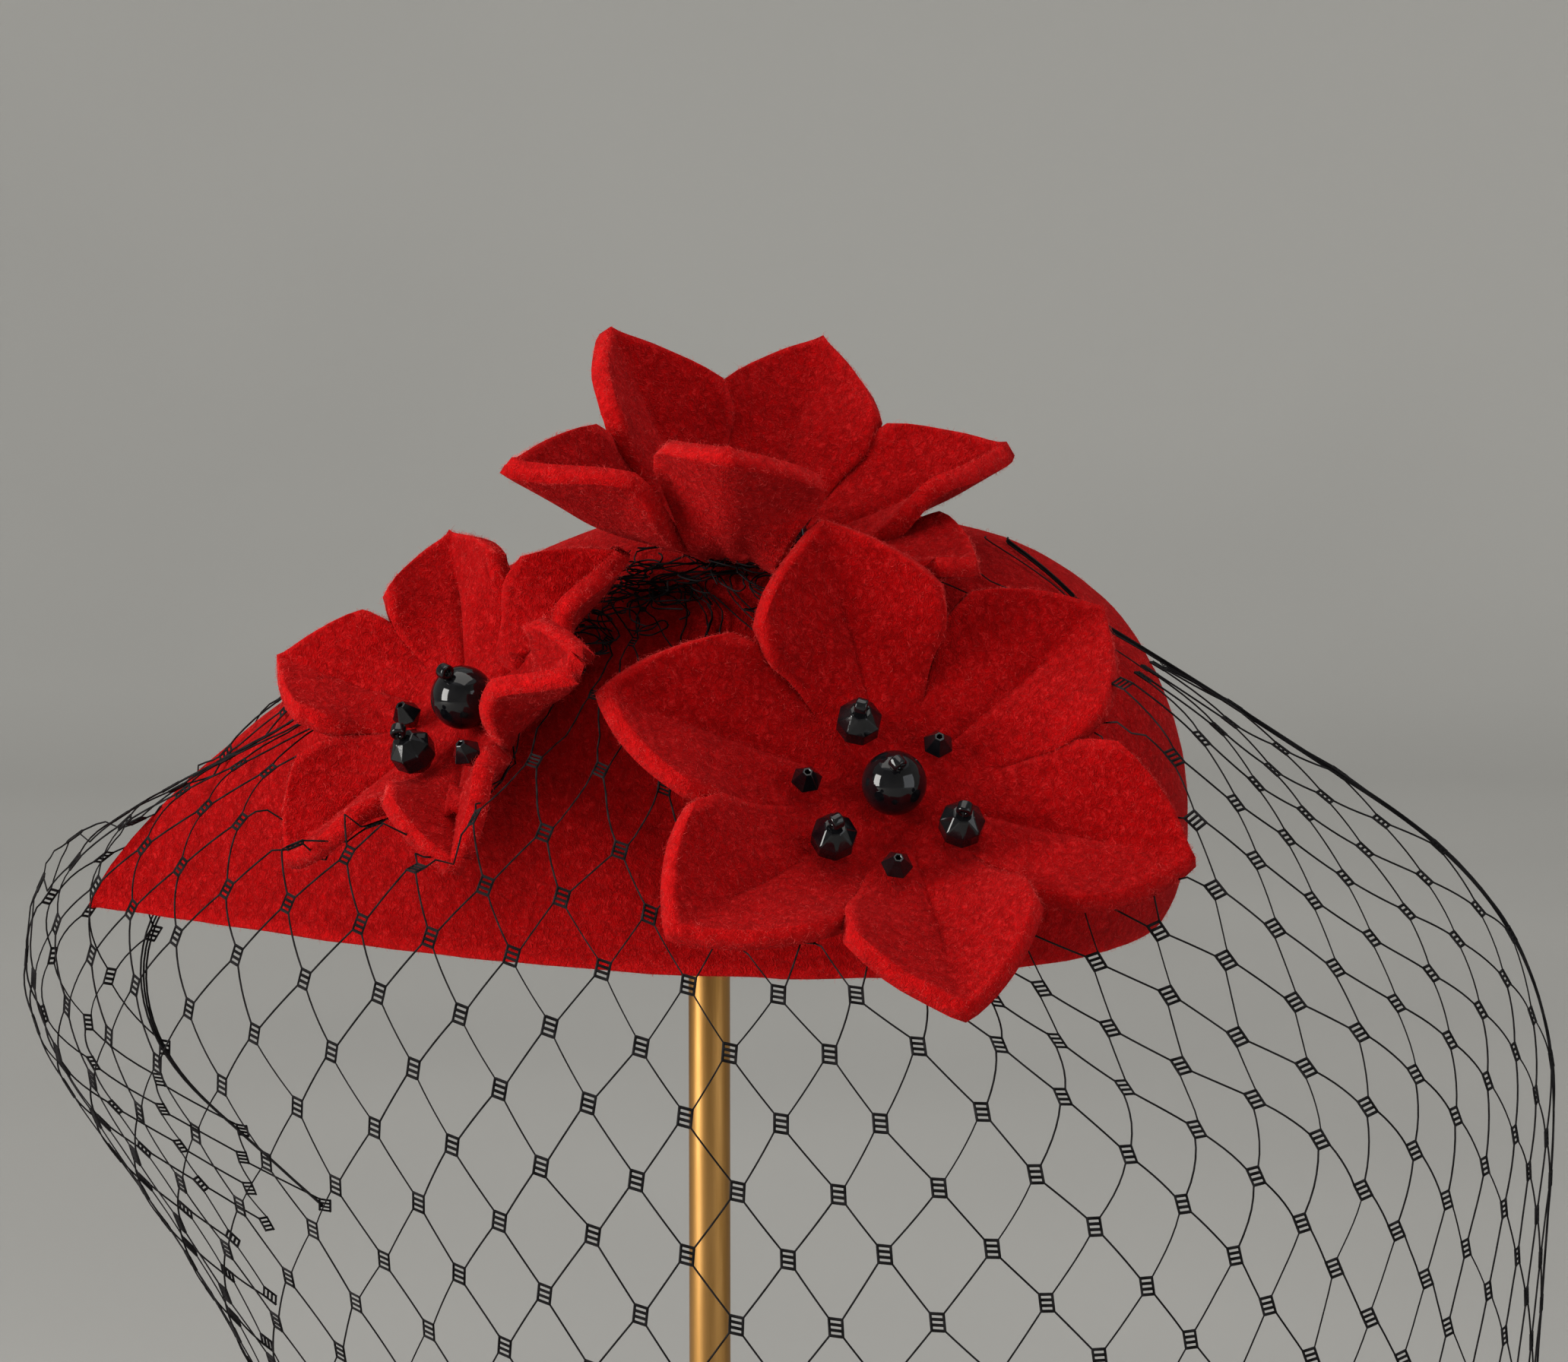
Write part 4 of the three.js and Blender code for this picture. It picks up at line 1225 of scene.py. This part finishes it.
    def stitch(self, seat: Matrix) -> list[Vector]:
        """Thread that comes up through a bead, runs through its seed bead and goes down again.

        Args:
            seat: the seed bead's frame.

        Returns:
            The thread's points.
        """
        reach = self.seed_length / 2 + 2 * self.thread_radius
        drop = BeadKind.SEED.value / 2
        down = [
            (0.5 * reach, 0.05), (reach, 0.0), (0.7 * reach, -0.75 * drop), (0.1, -drop - self.thread_depth),
        ]
        up = [(-x, z) for x, z in reversed(down)]
        return [seat @ Vector((x, 0.0, z)) for x, z in up + down]


@dataclass
class Veil:
    """Netting: threads between ladder knots on a surface that is gathered on the crown under the
    flowers and hangs in front. Columns of knots run from behind the point, round the front, to the
    round end, and rows run down. Each value of the hang tables is for every eighth column, from
    table_start: the way the net leaves, the start of its fall, the angles at which it leaves and
    hangs, and how far down the net it bends between them and over what length."""

    crown: BVHTree
    flowers: list[FeltFlower]
    first_column: int = -28
    last_column: int = 26
    first_row: int = -9
    free_row: int = -4
    hem_row: int = 12
    corner_column: int = -12
    corner_slope: float = 0.375
    knot_step: float = 8.0
    table_start: int = -32
    table_step: int = 8
    fall_steps: int = 16
    azimuth: tuple[float, ...] = (-218, -185, -152, -118, -79, -35, -12, 3)
    start_x: tuple[float, ...] = (-27, -28, -22, -8, 5, 10, 36, 35)
    start_y: tuple[float, ...] = (6, -6, -18, -32, -32, -36, -42, -18)
    start_z: tuple[float, ...] = (38, 41, 41, 42, 38, 38, 59, 52)
    leave: tuple[float, ...] = (46, 31, 25, 23, 33, 41, 51, 33)
    hang: tuple[float, ...] = (150, 138, 116, 101, 89, 89, 87, 93)
    bend: tuple[float, ...] = (74, 80, 66, 53, 58, 84, 92, 89)
    ease: tuple[float, ...] = (50, 50, 89, 99, 73, 26, 30, 64)
    gather_column: tuple[float, ...] = (-28, -4, 10, 26)
    gather_x: tuple[float, ...] = (-48, -5, 17, 38)
    gather_y: tuple[float, ...] = (-6, -30, -24, -4)
    gather_z: tuple[float, ...] = (36, 43, 47, 47)
    stand_off: float = 0.7
    under_felt: float = 0.5
    thread_radius: float = 0.12
    knot_width: float = 1.55
    knot_height: float = 2.05
    gathered_knot: float = 0.45
    squeezed_knot: float = 0.4
    squeezed_widths: tuple[float, float] = (0.5, 3.0)
    rungs: int = 4
    rung_slant: float = 0.16
    rung_radius: float = 0.19
    rail_radius: float = 0.17
    rail_end: float = 0.25
    selvedge_offsets: tuple[float, ...] = (-0.18, 0.0, 0.2)
    selvedge_spread: float = 0.4
    selvedge_step: float = 0.25
    selvedge_thickness: float = 1.2
    knot_seed: int = 7
    jitter: float = 0.3
    tangle: float = 5.0
    tangle_size: float = 6.0
    plain_column: int = 10
    plain_ease: int = 4
    plain_row: int = -5
    strand_steps: int = 5
    bunch_seed: int = 23
    # The loops' count is partly painted shade, darkening the shaded hollow between the flowers.
    bunch_loops: int = 85
    bunch_from: tuple[float, float] = (-16.0, -31.0)
    bunch_to: tuple[float, float] = (15.0, -24.0)
    bunch_half: float = 6.0
    bunch_height: float = 5.0
    loop_radius: tuple[float, float] = (1.8, 5.5)
    loop_squash: tuple[float, float] = (0.3, 1.0)
    loop_turns: tuple[float, float] = (0.5, 1.1)
    loop_lowest: float = 0.3
    loop_crumple: float = 0.5

    def free(self, column: float, row: float) -> Vector:
        """Point of the hanging surface before anything pushes it.

        Args:
            column: its column of knots.
            row: its row of knots.

        Returns:
            The point, in the frame.
        """
        place = (column - self.table_start) / self.table_step
        length = (row - self.first_row) * self.knot_step
        bend, ease = spline(self.bend, place), spline(self.ease, place)
        leave, hang = spline(self.leave, place), spline(self.hang, place)
        steps = self.fall_steps
        out = down = 0.0
        for k in range(steps):
            turned = smoothstep(length * (k + 0.5) / steps, bend - ease / 2, bend + ease / 2)
            fall = math.radians(lerp(leave, hang, turned))
            out += math.cos(fall) * length / steps
            down += math.sin(fall) * length / steps
        azimuth = math.radians(spline(self.azimuth, place))
        return Vector((
            spline(self.start_x, place) + out * math.cos(azimuth),
            spline(self.start_y, place) + out * math.sin(azimuth),
            RIM_HEIGHT + spline(self.start_z, place) - down,
        ))

    def point(self, column: float, row: float) -> Vector:
        """Point of the hung veil.

        Args:
            column: its column of knots.
            row: its row of knots.

        Returns:
            The point, in the frame.
        """
        gather = Vector([
            float(np.interp(column, self.gather_column, values))
            for values in (self.gather_x, self.gather_y, self.gather_z)
        ]) + Vector((0, 0, RIM_HEIGHT))
        gathered = 1 - smoothstep(row, self.first_row, self.free_row)
        point = self.free(column, row).lerp(gather, gathered)
        plain = smoothstep(column, self.plain_column - self.plain_ease, self.plain_column)
        loose = self.tangle * gathered * (1 - plain)
        return self.settled(point + noise.noise_vector(point / self.tangle_size) * loose)

    def settled(self, point: Vector) -> Vector:
        """Point moved under the flowers' petals and clear of the crown.

        Args:
            point: the point, in the frame.

        Returns:
            The point, or the moved point.
        """
        for flower in self.flowers:
            point = flower.underside(point, FELT / 2 + self.under_felt, flower.net_slope)
        place, away, _, _ = self.crown.find_nearest(point)
        depth = (point - place).dot(away)
        if depth < self.stand_off and point.z > RIM_HEIGHT - self.stand_off:
            point = point + away * (self.stand_off - depth)
        return point

    def last_row(self, column: int) -> float:
        """Last row of a column, which rises towards the net's end behind the point."""
        return self.hem_row - max(0, self.corner_column - column) * self.corner_slope

    def knots(self) -> dict[tuple[int, int], Matrix]:
        """Places the knots.

        Returns:
            Their frames by column and row: X across the net, Y down it and Z out of it.
        """
        rng = np.random.default_rng(self.knot_seed)
        frames = {}
        for column in range(self.first_column, self.last_column + 1):
            for row in range(self.first_row, self.hem_row + 1):
                shift = Vector(rng.normal(0, self.jitter, 2).tolist() + [0.0])
                plain = column > self.plain_column and row < self.plain_row
                if (column + row) % 2 or row > self.last_row(column) or plain:
                    continue
                here = self.point(column, row)
                across = (self.point(column + 0.5, row) - self.point(column - 0.5, row)).normalized()
                down = self.point(column, row + 0.5) - self.point(column, row - 0.5)
                down = (down - across * down.dot(across)).normalized()
                away = down.cross(across)
                spot = Matrix((across, down, away)).transposed().to_4x4()
                frames[column, row] = Matrix.Translation(here) @ spot @ Matrix.Translation(shift)
        return frames

    def knot_size(self, column: int, row: int) -> float:
        """Share of its full size that a knot has, smaller where the net is gathered or squeezed.

        Args:
            column: the knot's column.
            row: the knot's row.

        Returns:
            The share.
        """
        gathered = lerp(self.gathered_knot, 1.0, smoothstep(row, self.first_row, self.free_row))
        room = (self.point(column + 1, row) - self.point(column - 1, row)).length
        tight, loose = (share * self.knot_width for share in self.squeezed_widths)
        return gathered * lerp(self.squeezed_knot, 1.0, smoothstep(room, tight, loose))

    def corner(self, spot: Matrix, column: int, row: int, side: int, end: int) -> Vector:
        """Corner of a knot, where a thread leaves it.

        Args:
            spot: the knot's frame.
            column: the knot's column.
            row: the knot's row.
            side: -1 or 1 for the corner's side.
            end: -1 at the knot's top, 1 at its bottom.

        Returns:
            The corner, in the frame.
        """
        size = self.knot_size(column, row)
        slant = self.rung_slant * self.knot_width * side / 2
        across = side * self.knot_width * size / 2
        return spot @ Vector((across, (end * self.knot_height / 2 + slant) * size, 0))

    def strand(self, spots: dict, start: tuple[int, int], side: int) -> list[Vector]:
        """Thread from a knot down to the next one on a side.

        Args:
            spots: the knots' frames.
            start: the upper knot's column and row.
            side: -1 or 1 for the side of the lower knot.

        Returns:
            The thread's points.
        """
        end = (start[0] + side, start[1] + 1)
        here, there = spots[start], spots[end]
        first = self.corner(here, *start, side, 1)
        last = self.corner(there, *end, -side, -1)
        first_knot, last_knot = self.point(*start), self.point(*end)
        run = []
        for k in range(self.strand_steps + 1):
            t = k / self.strand_steps
            base = self.point(start[0] + side * t, start[1] + t)
            run.append(base + (first - first_knot) * (1 - t) + (last - last_knot) * t)
        return run

    def gather_runs(self) -> list[list[Vector]]:
        """Threads drawn up from the net's round end to where it is gathered.

        Returns:
            The points of each thread.
        """
        columns = range(self.plain_column + 2, self.last_column, 4)
        rows = np.linspace(self.first_row, self.plain_row, 4 * self.strand_steps)
        return [[self.point(column + 0.3 * math.sin(row), row) for row in rows] for column in columns]

    def bunch_runs(self) -> list[list[Vector]]:
        """Crumpled loops of thread where the net is bunched between the flowers. The loops are partly real
        netting and partly painted shade: a dark mass standing for the shade in the hollow between the
        flowers.

        Returns:
            The points of each loop.
        """
        rng = np.random.default_rng(self.bunch_seed)
        runs = []
        for _ in range(self.bunch_loops):
            share = rng.random()
            centre = Vector(self.bunch_from).lerp(Vector(self.bunch_to), share)
            centre += Vector(rng.normal(0, 0.5 * self.bunch_half, 2).tolist())
            top = self.crown.ray_cast(Vector((*centre, RIM_HEIGHT + 100)), Vector((0, 0, -1)))[0]
            if top is not None:
                runs.append(self.loop(rng, top))
        return runs

    def loop(self, rng: np.random.Generator, top: Vector) -> list[Vector]:
        """One crumpled loop of thread.

        Args:
            rng: where its size and turns are drawn from.
            top: the place on the crown that it lies over.

        Returns:
            The loop's points.
        """
        radius, turn = rng.uniform(*self.loop_radius), rng.uniform(0, math.tau)
        squash, sweep = rng.uniform(*self.loop_squash), rng.uniform(*self.loop_turns) * math.tau
        low, high = sorted(rng.uniform(self.loop_lowest, self.bunch_height, 2))
        turned = Matrix.Rotation(turn, 3, "Z")
        steps = 4 * self.strand_steps
        run = []
        for k in range(steps + 1):
            angle = sweep * k / steps
            lift = lerp(low, high, 0.5 + 0.5 * math.sin(angle + turn))
            flat = Vector((radius * math.cos(angle), squash * radius * math.sin(angle), lift))
            spot = turned @ flat
            spot += noise.noise_vector((top + spot) / self.tangle_size) * radius * self.loop_crumple
            run.append(self.settled(top + spot))
        return run

    def ladder(self) -> bmesh.types.BMesh:
        """One knot: two rails and the slanting rungs between them.

        Returns:
            The knot, in millimetres.
        """
        bm = bmesh.new()
        width, height = self.knot_width, self.knot_height
        for side in (-1, 1):
            slant = self.rung_slant * width * side / 2
            spot = Matrix.Translation((side * width / 2, slant, 0)) @ Matrix.Rotation(math.pi / 2, 4, "X")
            bmesh.ops.create_cone(
                bm, cap_ends=True, segments=4, radius1=self.rail_radius, radius2=self.rail_radius,
                depth=height + self.rail_end, matrix=spot,
            )
        across = Matrix.Rotation(math.pi / 2, 4, "Y")
        slanted = Matrix.Rotation(math.atan(self.rung_slant), 4, "Z") @ across
        for k in range(self.rungs):
            y = lerp(-height / 2, height / 2, k / (self.rungs - 1))
            bmesh.ops.create_cone(
                bm, cap_ends=True, segments=4, radius1=self.rung_radius, radius2=self.rung_radius,
                depth=width, matrix=Matrix.Translation((0, y, 0)) @ slanted,
            )
        return bm

    def knots_mesh(self, spots: dict[tuple[int, int], Matrix]) -> bpy.types.Mesh:
        """Every knot of the net as one mesh in metres.

        Args:
            spots: the knots' frames.

        Returns:
            The new mesh.
        """
        ladder = self.ladder()
        ladder.verts.ensure_lookup_table()
        corners = np.array([(*vert.co, 1.0) for vert in ladder.verts])
        faces = [[vert.index for vert in face.verts] for face in ladder.faces]
        ladder.free()
        places, polygons = [], []
        for number, (knot, spot) in enumerate(spots.items()):
            sized = spot @ Matrix.Diagonal((self.knot_size(*knot),) * 3 + (1.0,))
            places.append((corners @ np.array(sized).T)[:, :3] * MM)
            polygons += [[index + number * len(corners) for index in face] for face in faces]
        mesh = bpy.data.meshes.new("knots")
        mesh.from_pydata(np.concatenate(places).tolist(), [], polygons)
        return mesh

    def selvedge_runs(self) -> list[list[Vector]]:
        """Threads of the net's two side edges.

        Returns:
            The points of each thread.
        """
        runs = []
        for column in (self.first_column, self.last_column):
            rows = np.arange(self.first_row, self.last_row(column) + 0.1, self.selvedge_step)
            for offset in self.selvedge_offsets:
                beside = column + offset * self.selvedge_spread
                runs.append([self.point(beside, row) + Vector((0, 0, offset)) for row in rows])
        return runs

    def build(self, material: bpy.types.Material) -> list[bpy.types.Object]:
        """Builds the veil.

        Args:
            material: the net's thread.

        Returns:
            The veil's pieces.
        """
        spots = self.knots()
        runs = [
            self.strand(spots, start, side)
            for start in spots for side in (-1, 1) if (start[0] + side, start[1] + 1) in spots
        ] + self.gather_runs()
        threads = finished("veil_threads", threads_mesh(runs, self.thread_radius, 4), material, Slot.NET)
        knots = finished("veil_knots", self.knots_mesh(spots), material, Slot.NET)
        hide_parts("veil")
        edge_mesh = threads_mesh(self.selvedge_runs(), self.selvedge_thickness * self.thread_radius)
        selvedge = finished("veil_selvedge", edge_mesh, material, Slot.NET)
        # The bunch is partly real netting and partly painted shade for the hollow between the flowers.
        bunch_mesh = threads_mesh(self.bunch_runs(), self.thread_radius, 4)
        return [threads, knots, selvedge, finished("veil_bunch", bunch_mesh, material, Slot.NET)]


@dataclass
class Fuzz:
    """Loose fibres that stand off a felt piece, denser along its cut edges. Each is a bent spike
    of three sides, with a ring at its root, a ring at its middle and a tip."""

    count: int
    seed: int
    length: tuple[float, float] = (0.4, 1.5)
    shortening: tuple[float, float] = (0.5, 1.0)
    stand: tuple[float, float] = (0.15, 0.75)
    tip_stand: tuple[float, float] = (-0.5, 0.5)
    curl: float = 0.6
    radius: float = 0.018
    middle_share: float = 0.75
    root_depth: float = 0.1
    edge_share: float = 4.0

    def roots(self, mesh: bpy.types.Mesh, rng: np.random.Generator) -> tuple[np.ndarray, np.ndarray]:
        """Chooses where the fibres stand, evenly by area.

        Args:
            mesh: the felt's mesh, in metres.
            rng: where the places are drawn from.

        Returns:
            The fibres' roots in millimetres and the surface's normals there.
        """
        mesh.calc_loop_triangles()
        co = np.empty(len(mesh.vertices) * 3)
        mesh.vertices.foreach_get("co", co)
        co = co.reshape(-1, 3) / MM
        cut = np.empty(len(mesh.vertices))
        mesh.attributes["cut_edge"].data.foreach_get("value", cut)
        corners = np.empty(len(mesh.loop_triangles) * 3, dtype=np.int32)
        mesh.loop_triangles.foreach_get("vertices", corners)
        corners = corners.reshape(-1, 3)
        a, b, c = (co[corners[:, k]] for k in range(3))
        normals = np.cross(b - a, c - a)
        area = np.linalg.norm(normals, axis=1) + 1e-12
        weight = area * (1 + self.edge_share * cut[corners].mean(axis=1))
        chosen = rng.choice(len(area), self.count, p=weight / weight.sum())
        u, v = rng.random((2, self.count, 1))
        flip = u + v > 1
        u, v = np.where(flip, 1 - u, u), np.where(flip, 1 - v, v)
        root = a[chosen] + u * (b - a)[chosen] + v * (c - a)[chosen]
        return root, normals[chosen] / area[chosen, None]

    def fibres(self, mesh: bpy.types.Mesh) -> np.ndarray:
        """Grows the fibres.

        Args:
            mesh: the felt's mesh, in metres.

        Returns:
            Seven corners for each fibre, in metres.
        """
        rng = np.random.default_rng(self.seed)
        root, normal = self.roots(mesh, rng)
        column = (self.count, 1)
        lean = rng.normal(size=(self.count, 3))
        lean -= normal * (lean * normal).sum(axis=1, keepdims=True)
        lean /= np.linalg.norm(lean, axis=1, keepdims=True)
        side = np.cross(normal, lean)
        half = 0.5 * rng.uniform(*self.length, column) * rng.uniform(*self.shortening, column)
        lift = rng.uniform(*self.stand, column)
        middle = root + half * (lean * (1 - lift) + normal * lift)
        curl = rng.normal(0, self.curl, column)
        tip = middle + half * (lean + side * curl + normal * rng.uniform(*self.tip_stand, column))
        rings = []
        for centre, share in ((root - normal * self.root_depth, 1.0), (middle, self.middle_share)):
            for turn in (0.0, 2.1, 4.2):
                around = normal * math.cos(turn) + side * math.sin(turn)
                rings.append(centre + self.radius * share * around)
        return np.stack(rings + [tip], axis=1).reshape(-1, 3) * MM

    def build(self, felt: bpy.types.Object, material: bpy.types.Material) -> bpy.types.Object:
        """Builds the fibres of one felt piece.

        Args:
            felt: the felt piece.
            material: the fibres' material.

        Returns:
            The fibres' piece.
        """
        points = self.fibres(felt.data)
        pattern = [(2, 1, 0), (0, 1, 4, 3), (1, 2, 5, 4), (2, 0, 3, 5), (3, 4, 6), (4, 5, 6), (5, 3, 6)]
        faces = [[7 * k + index for index in face] for k in range(self.count) for face in pattern]
        mesh = bpy.data.meshes.new("fibres")
        mesh.from_pydata(points.tolist(), [], faces)
        return finished(felt.name.replace("_felt", "_fuzz"), mesh, material, Slot.FELT)


@dataclass
class Stand:
    """Brass stand: a round foot, the rod and the domed cap under the crown."""

    foot_edge: float = 1.5
    bore_floor: float = 2.5
    rod_edge: float = 0.4
    cap_edge: float = 1.2
    cap_shoulder: float = 2.6
    cap_skirt: float = 5.0
    dome_steps: int = 12
    steps: int = 96

    def build(self, brass: bpy.types.Material) -> list[bpy.types.Object]:
        """Builds the stand from its nodes' boxes.

        Args:
            brass: the stand's material.

        Returns:
            The stand's pieces.
        """
        foot_low, foot_high = (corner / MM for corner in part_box("stand_foot"))
        rod_low, rod_high = (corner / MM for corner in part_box("stand_rod"))
        cap_low, cap_high = (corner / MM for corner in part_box("stand_cap"))
        rod, foot, cap = rod_high.x, foot_high.x, cap_high.x
        bore, soft = rod + GAP, self.foot_edge
        foot_profile = (
            [(0, foot_low.z)] + arc((foot - soft, foot_low.z + soft), soft, -90, 0, 6)
            + arc((foot - soft, foot_high.z - soft), soft, 0, 90, 6)
            + [(bore, foot_high.z), (bore, self.bore_floor), (0, self.bore_floor)]
        )
        soft = self.rod_edge
        rod_profile = (
            [(0, rod_low.z)] + arc((rod - soft, rod_low.z + soft), soft, -90, 0, 3)
            + arc((rod - soft, rod_high.z - soft), soft, 0, 90, 3) + [(0, rod_high.z)]
        )
        soft = self.cap_edge
        dome_angles = [math.pi / 2 * k / self.dome_steps for k in range(self.dome_steps + 1)]
        dome = [
            (cap * math.cos(t), cap_high.z - self.cap_shoulder * (1 - math.sin(t))) for t in dome_angles
        ]
        ceiling = cap_low.z + self.cap_skirt
        cap_profile = (
            [(bore, cap_low.z)] + arc((cap - soft, cap_low.z + soft), soft, -90, 0, 5) + dome
            + [(0, ceiling), (bore, ceiling), (bore, cap_low.z)]
        )
        profiles = {"stand_foot": foot_profile, "stand_rod": rod_profile, "stand_cap": cap_profile}
        pieces = []
        for node, profile in profiles.items():
            piece = finished(node + "_brass", mesh_of(spun(profile, self.steps)), brass, Slot.BRASS)
            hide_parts(node)
            pieces.append(piece)
        return pieces


@dataclass
class HairComb:
    """Plain comb inside the rim, with its edges and tooth ends rounded."""

    edge_round: float = 0.35

    def build(self, plastic: bpy.types.Material) -> bpy.types.Object:
        """Builds the comb from a copy of its node.

        Args:
            plastic: the comb's material.

        Returns:
            The comb's piece.
        """
        bm = bmesh.new()
        bm.from_mesh(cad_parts["hair_comb"].data)
        bmesh.ops.scale(bm, vec=(1 / MM, 1 / MM, 1 / MM), verts=bm.verts[:])
        bmesh.ops.remove_doubles(bm, verts=bm.verts[:], dist=1e-3)
        bmesh.ops.dissolve_limit(bm, angle_limit=math.radians(1.0), verts=bm.verts[:], edges=bm.edges[:])
        corners = [edge for edge in bm.edges if edge.calc_face_angle(0.0) > 0.5]
        bmesh.ops.bevel(
            bm, geom=corners, offset=self.edge_round, offset_type="OFFSET", segments=3, profile=0.5,
            affect="EDGES", clamp_overlap=True, material=-1,
        )
        piece = finished("hair_comb_plastic", mesh_of(bm), plastic, Slot.COMB)
        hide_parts("hair_comb")
        return piece


@dataclass(frozen=True)
class SoftBox:
    """A soft light: its place, size, power and colour."""

    name: str
    place: tuple[float, float, float]
    width: float
    height: float
    power: float
    colour: Colour = (1.0, 1.0, 1.0)


@dataclass
class Studio:
    """Camera at the photograph's angle, the pale sweep all round and soft light."""

    target: tuple[float, float, float] = (9.88, 0.57, 221.0)
    distance: float = 700.0
    elevation: float = 7.0
    azimuth: float = 3.3
    lens: float = 122.15
    sensor: float = 36.0
    floor_radius: float = 1500.0
    bend_radius: float = 500.0
    wall_top: float = 2600.0
    ambient: float = 0.5
    lights: tuple[SoftBox, ...] = (
        SoftBox("window_left", (-1000.0, -560.0, 440.0), 480.0, 700.0, 15.5, (1.0, 0.98, 0.94)),
        SoftBox("window_right", (1050.0, -700.0, 420.0), 900.0, 900.0, 4.5, (0.9, 0.95, 1.0)),
        SoftBox("ceiling", (-100.0, -200.0, 1600.0), 1500.0, 1200.0, 11.0, (1.0, 0.96, 0.9)),
    )

    def camera(self) -> bpy.types.Object:
        """Places the camera.

        Returns:
            The camera.
        """
        data = bpy.data.cameras.new("camera")
        data.sensor_fit = "HORIZONTAL"
        data.sensor_width = self.sensor
        data.lens = self.lens
        data.clip_start = 0.01
        data.clip_end = 20.0
        camera = bpy.data.objects.new("camera", data)
        rise, turn = math.radians(self.elevation), math.radians(self.azimuth)
        level = math.cos(rise)
        away = Vector((math.sin(turn) * level, -math.cos(turn) * level, math.sin(rise)))
        camera.location = (Vector(self.target) + away * self.distance) * MM
        camera.rotation_euler = away.to_track_quat("Z", "Y").to_euler()
        bpy.context.scene.collection.objects.link(camera)
        bpy.context.scene.camera = camera
        return camera

    def sweep(self, material: bpy.types.Material) -> bpy.types.Object:
        """Pale floor that bends up into a wall all round.

        Args:
            material: the sweep's material.

        Returns:
            The sweep.
        """
        bend = arc((self.floor_radius, self.bend_radius), self.bend_radius, -90, 0, 12)
        profile = [(0.0, 0.0)] + bend + [(self.floor_radius + self.bend_radius, self.wall_top)]
        bm = spun(profile, 96)
        if sum(face.normal.z * face.calc_area() for face in bm.faces) < 0:
            bmesh.ops.reverse_faces(bm, faces=bm.faces[:])
        sweep = finished("sweep", mesh_of(bm), material, None)
        return sweep

    def light(self, box: SoftBox) -> bpy.types.Object:
        """Places a light, turned towards the hat.

        Args:
            box: the light's size, place and colour.

        Returns:
            The light.
        """
        data = bpy.data.lights.new(box.name, "AREA")
        data.shape = "RECTANGLE"
        data.size, data.size_y = box.width * MM, box.height * MM
        data.energy = box.power
        data.color = box.colour
        light = bpy.data.objects.new(box.name, data)
        away = Vector(box.place) - Vector(self.target)
        light.location = Vector(box.place) * MM
        light.rotation_euler = away.to_track_quat("Z", "Y").to_euler()
        light.visible_camera = False
        bpy.context.scene.collection.objects.link(light)
        return light

    def build(self, material: bpy.types.Material) -> None:
        """Builds the studio.

        Args:
            material: the sweep's material.
        """
        self.camera()
        self.sweep(material)
        for box in self.lights:
            self.light(box)
        world = bpy.data.worlds.new("room")
        world.use_nodes = True
        board = Board(world.node_tree)
        sky = board.add("ShaderNodeBackground", {"Color": (0.96, 0.98, 1.0, 1), "Strength": self.ambient})
        board.add("ShaderNodeOutputWorld", {"Surface": sky.outputs[0]})
        bpy.context.scene.world = world
        bpy.context.scene.view_settings.view_transform = "Standard"


def main() -> None:
    """Builds every sub-assembly in order."""
    logging.basicConfig(level=logging.INFO, format="%(name)s: %(message)s")
    # Without a seed, the noise vectors that tangle the netting follow the clock.
    noise.seed_set(NOISE_SEED)
    wool, handling = matted_wool_group(), handling_group()
    felt = FeltFinish("red_felt").material(wool)
    fibre = FibreFinish("wool_fibre").material()
    jet = GlossFinish("jet_glass", (0.002, 0.002, 0.003), (0.008, 0.008, 0.009), (0.03, 0.09), 0.00001)
    tortoise = GlossFinish("comb_plastic", (0.006, 0.005, 0.005), (0.02, 0.017, 0.015), (0.25, 0.4), 0.00003)
    glass = jet.material(handling)
    net = ThreadFinish("net_thread").material()
    Studio().build(SweepFinish("pale_paper").material())
    crown = FeltCrown()
    surface = crown.surface()
    felts = [crown.build(felt)]
    flowers = [FeltFlower(plan) for plan in FLOWERS]
    for flower in flowers:
        over = [other for other in flowers if other.plan.name in flower.plan.under]
        felts.append(flower.build(surface, over, felt))
        BeadCluster(flower).build(glass, net)
    Veil(surface, flowers).build(net)
    HairComb().build(tortoise.material(handling))
    Stand().build(BrassFinish("lacquered_brass").material(handling))
    for number, piece in enumerate(felts):
        count = CROWN_FIBRES if number == 0 else FLOWER_FIBRES
        Fuzz(count, seed=FIRST_FUZZ_SEED + number).build(piece, fibre)


if __name__ == "__main__":
    main()
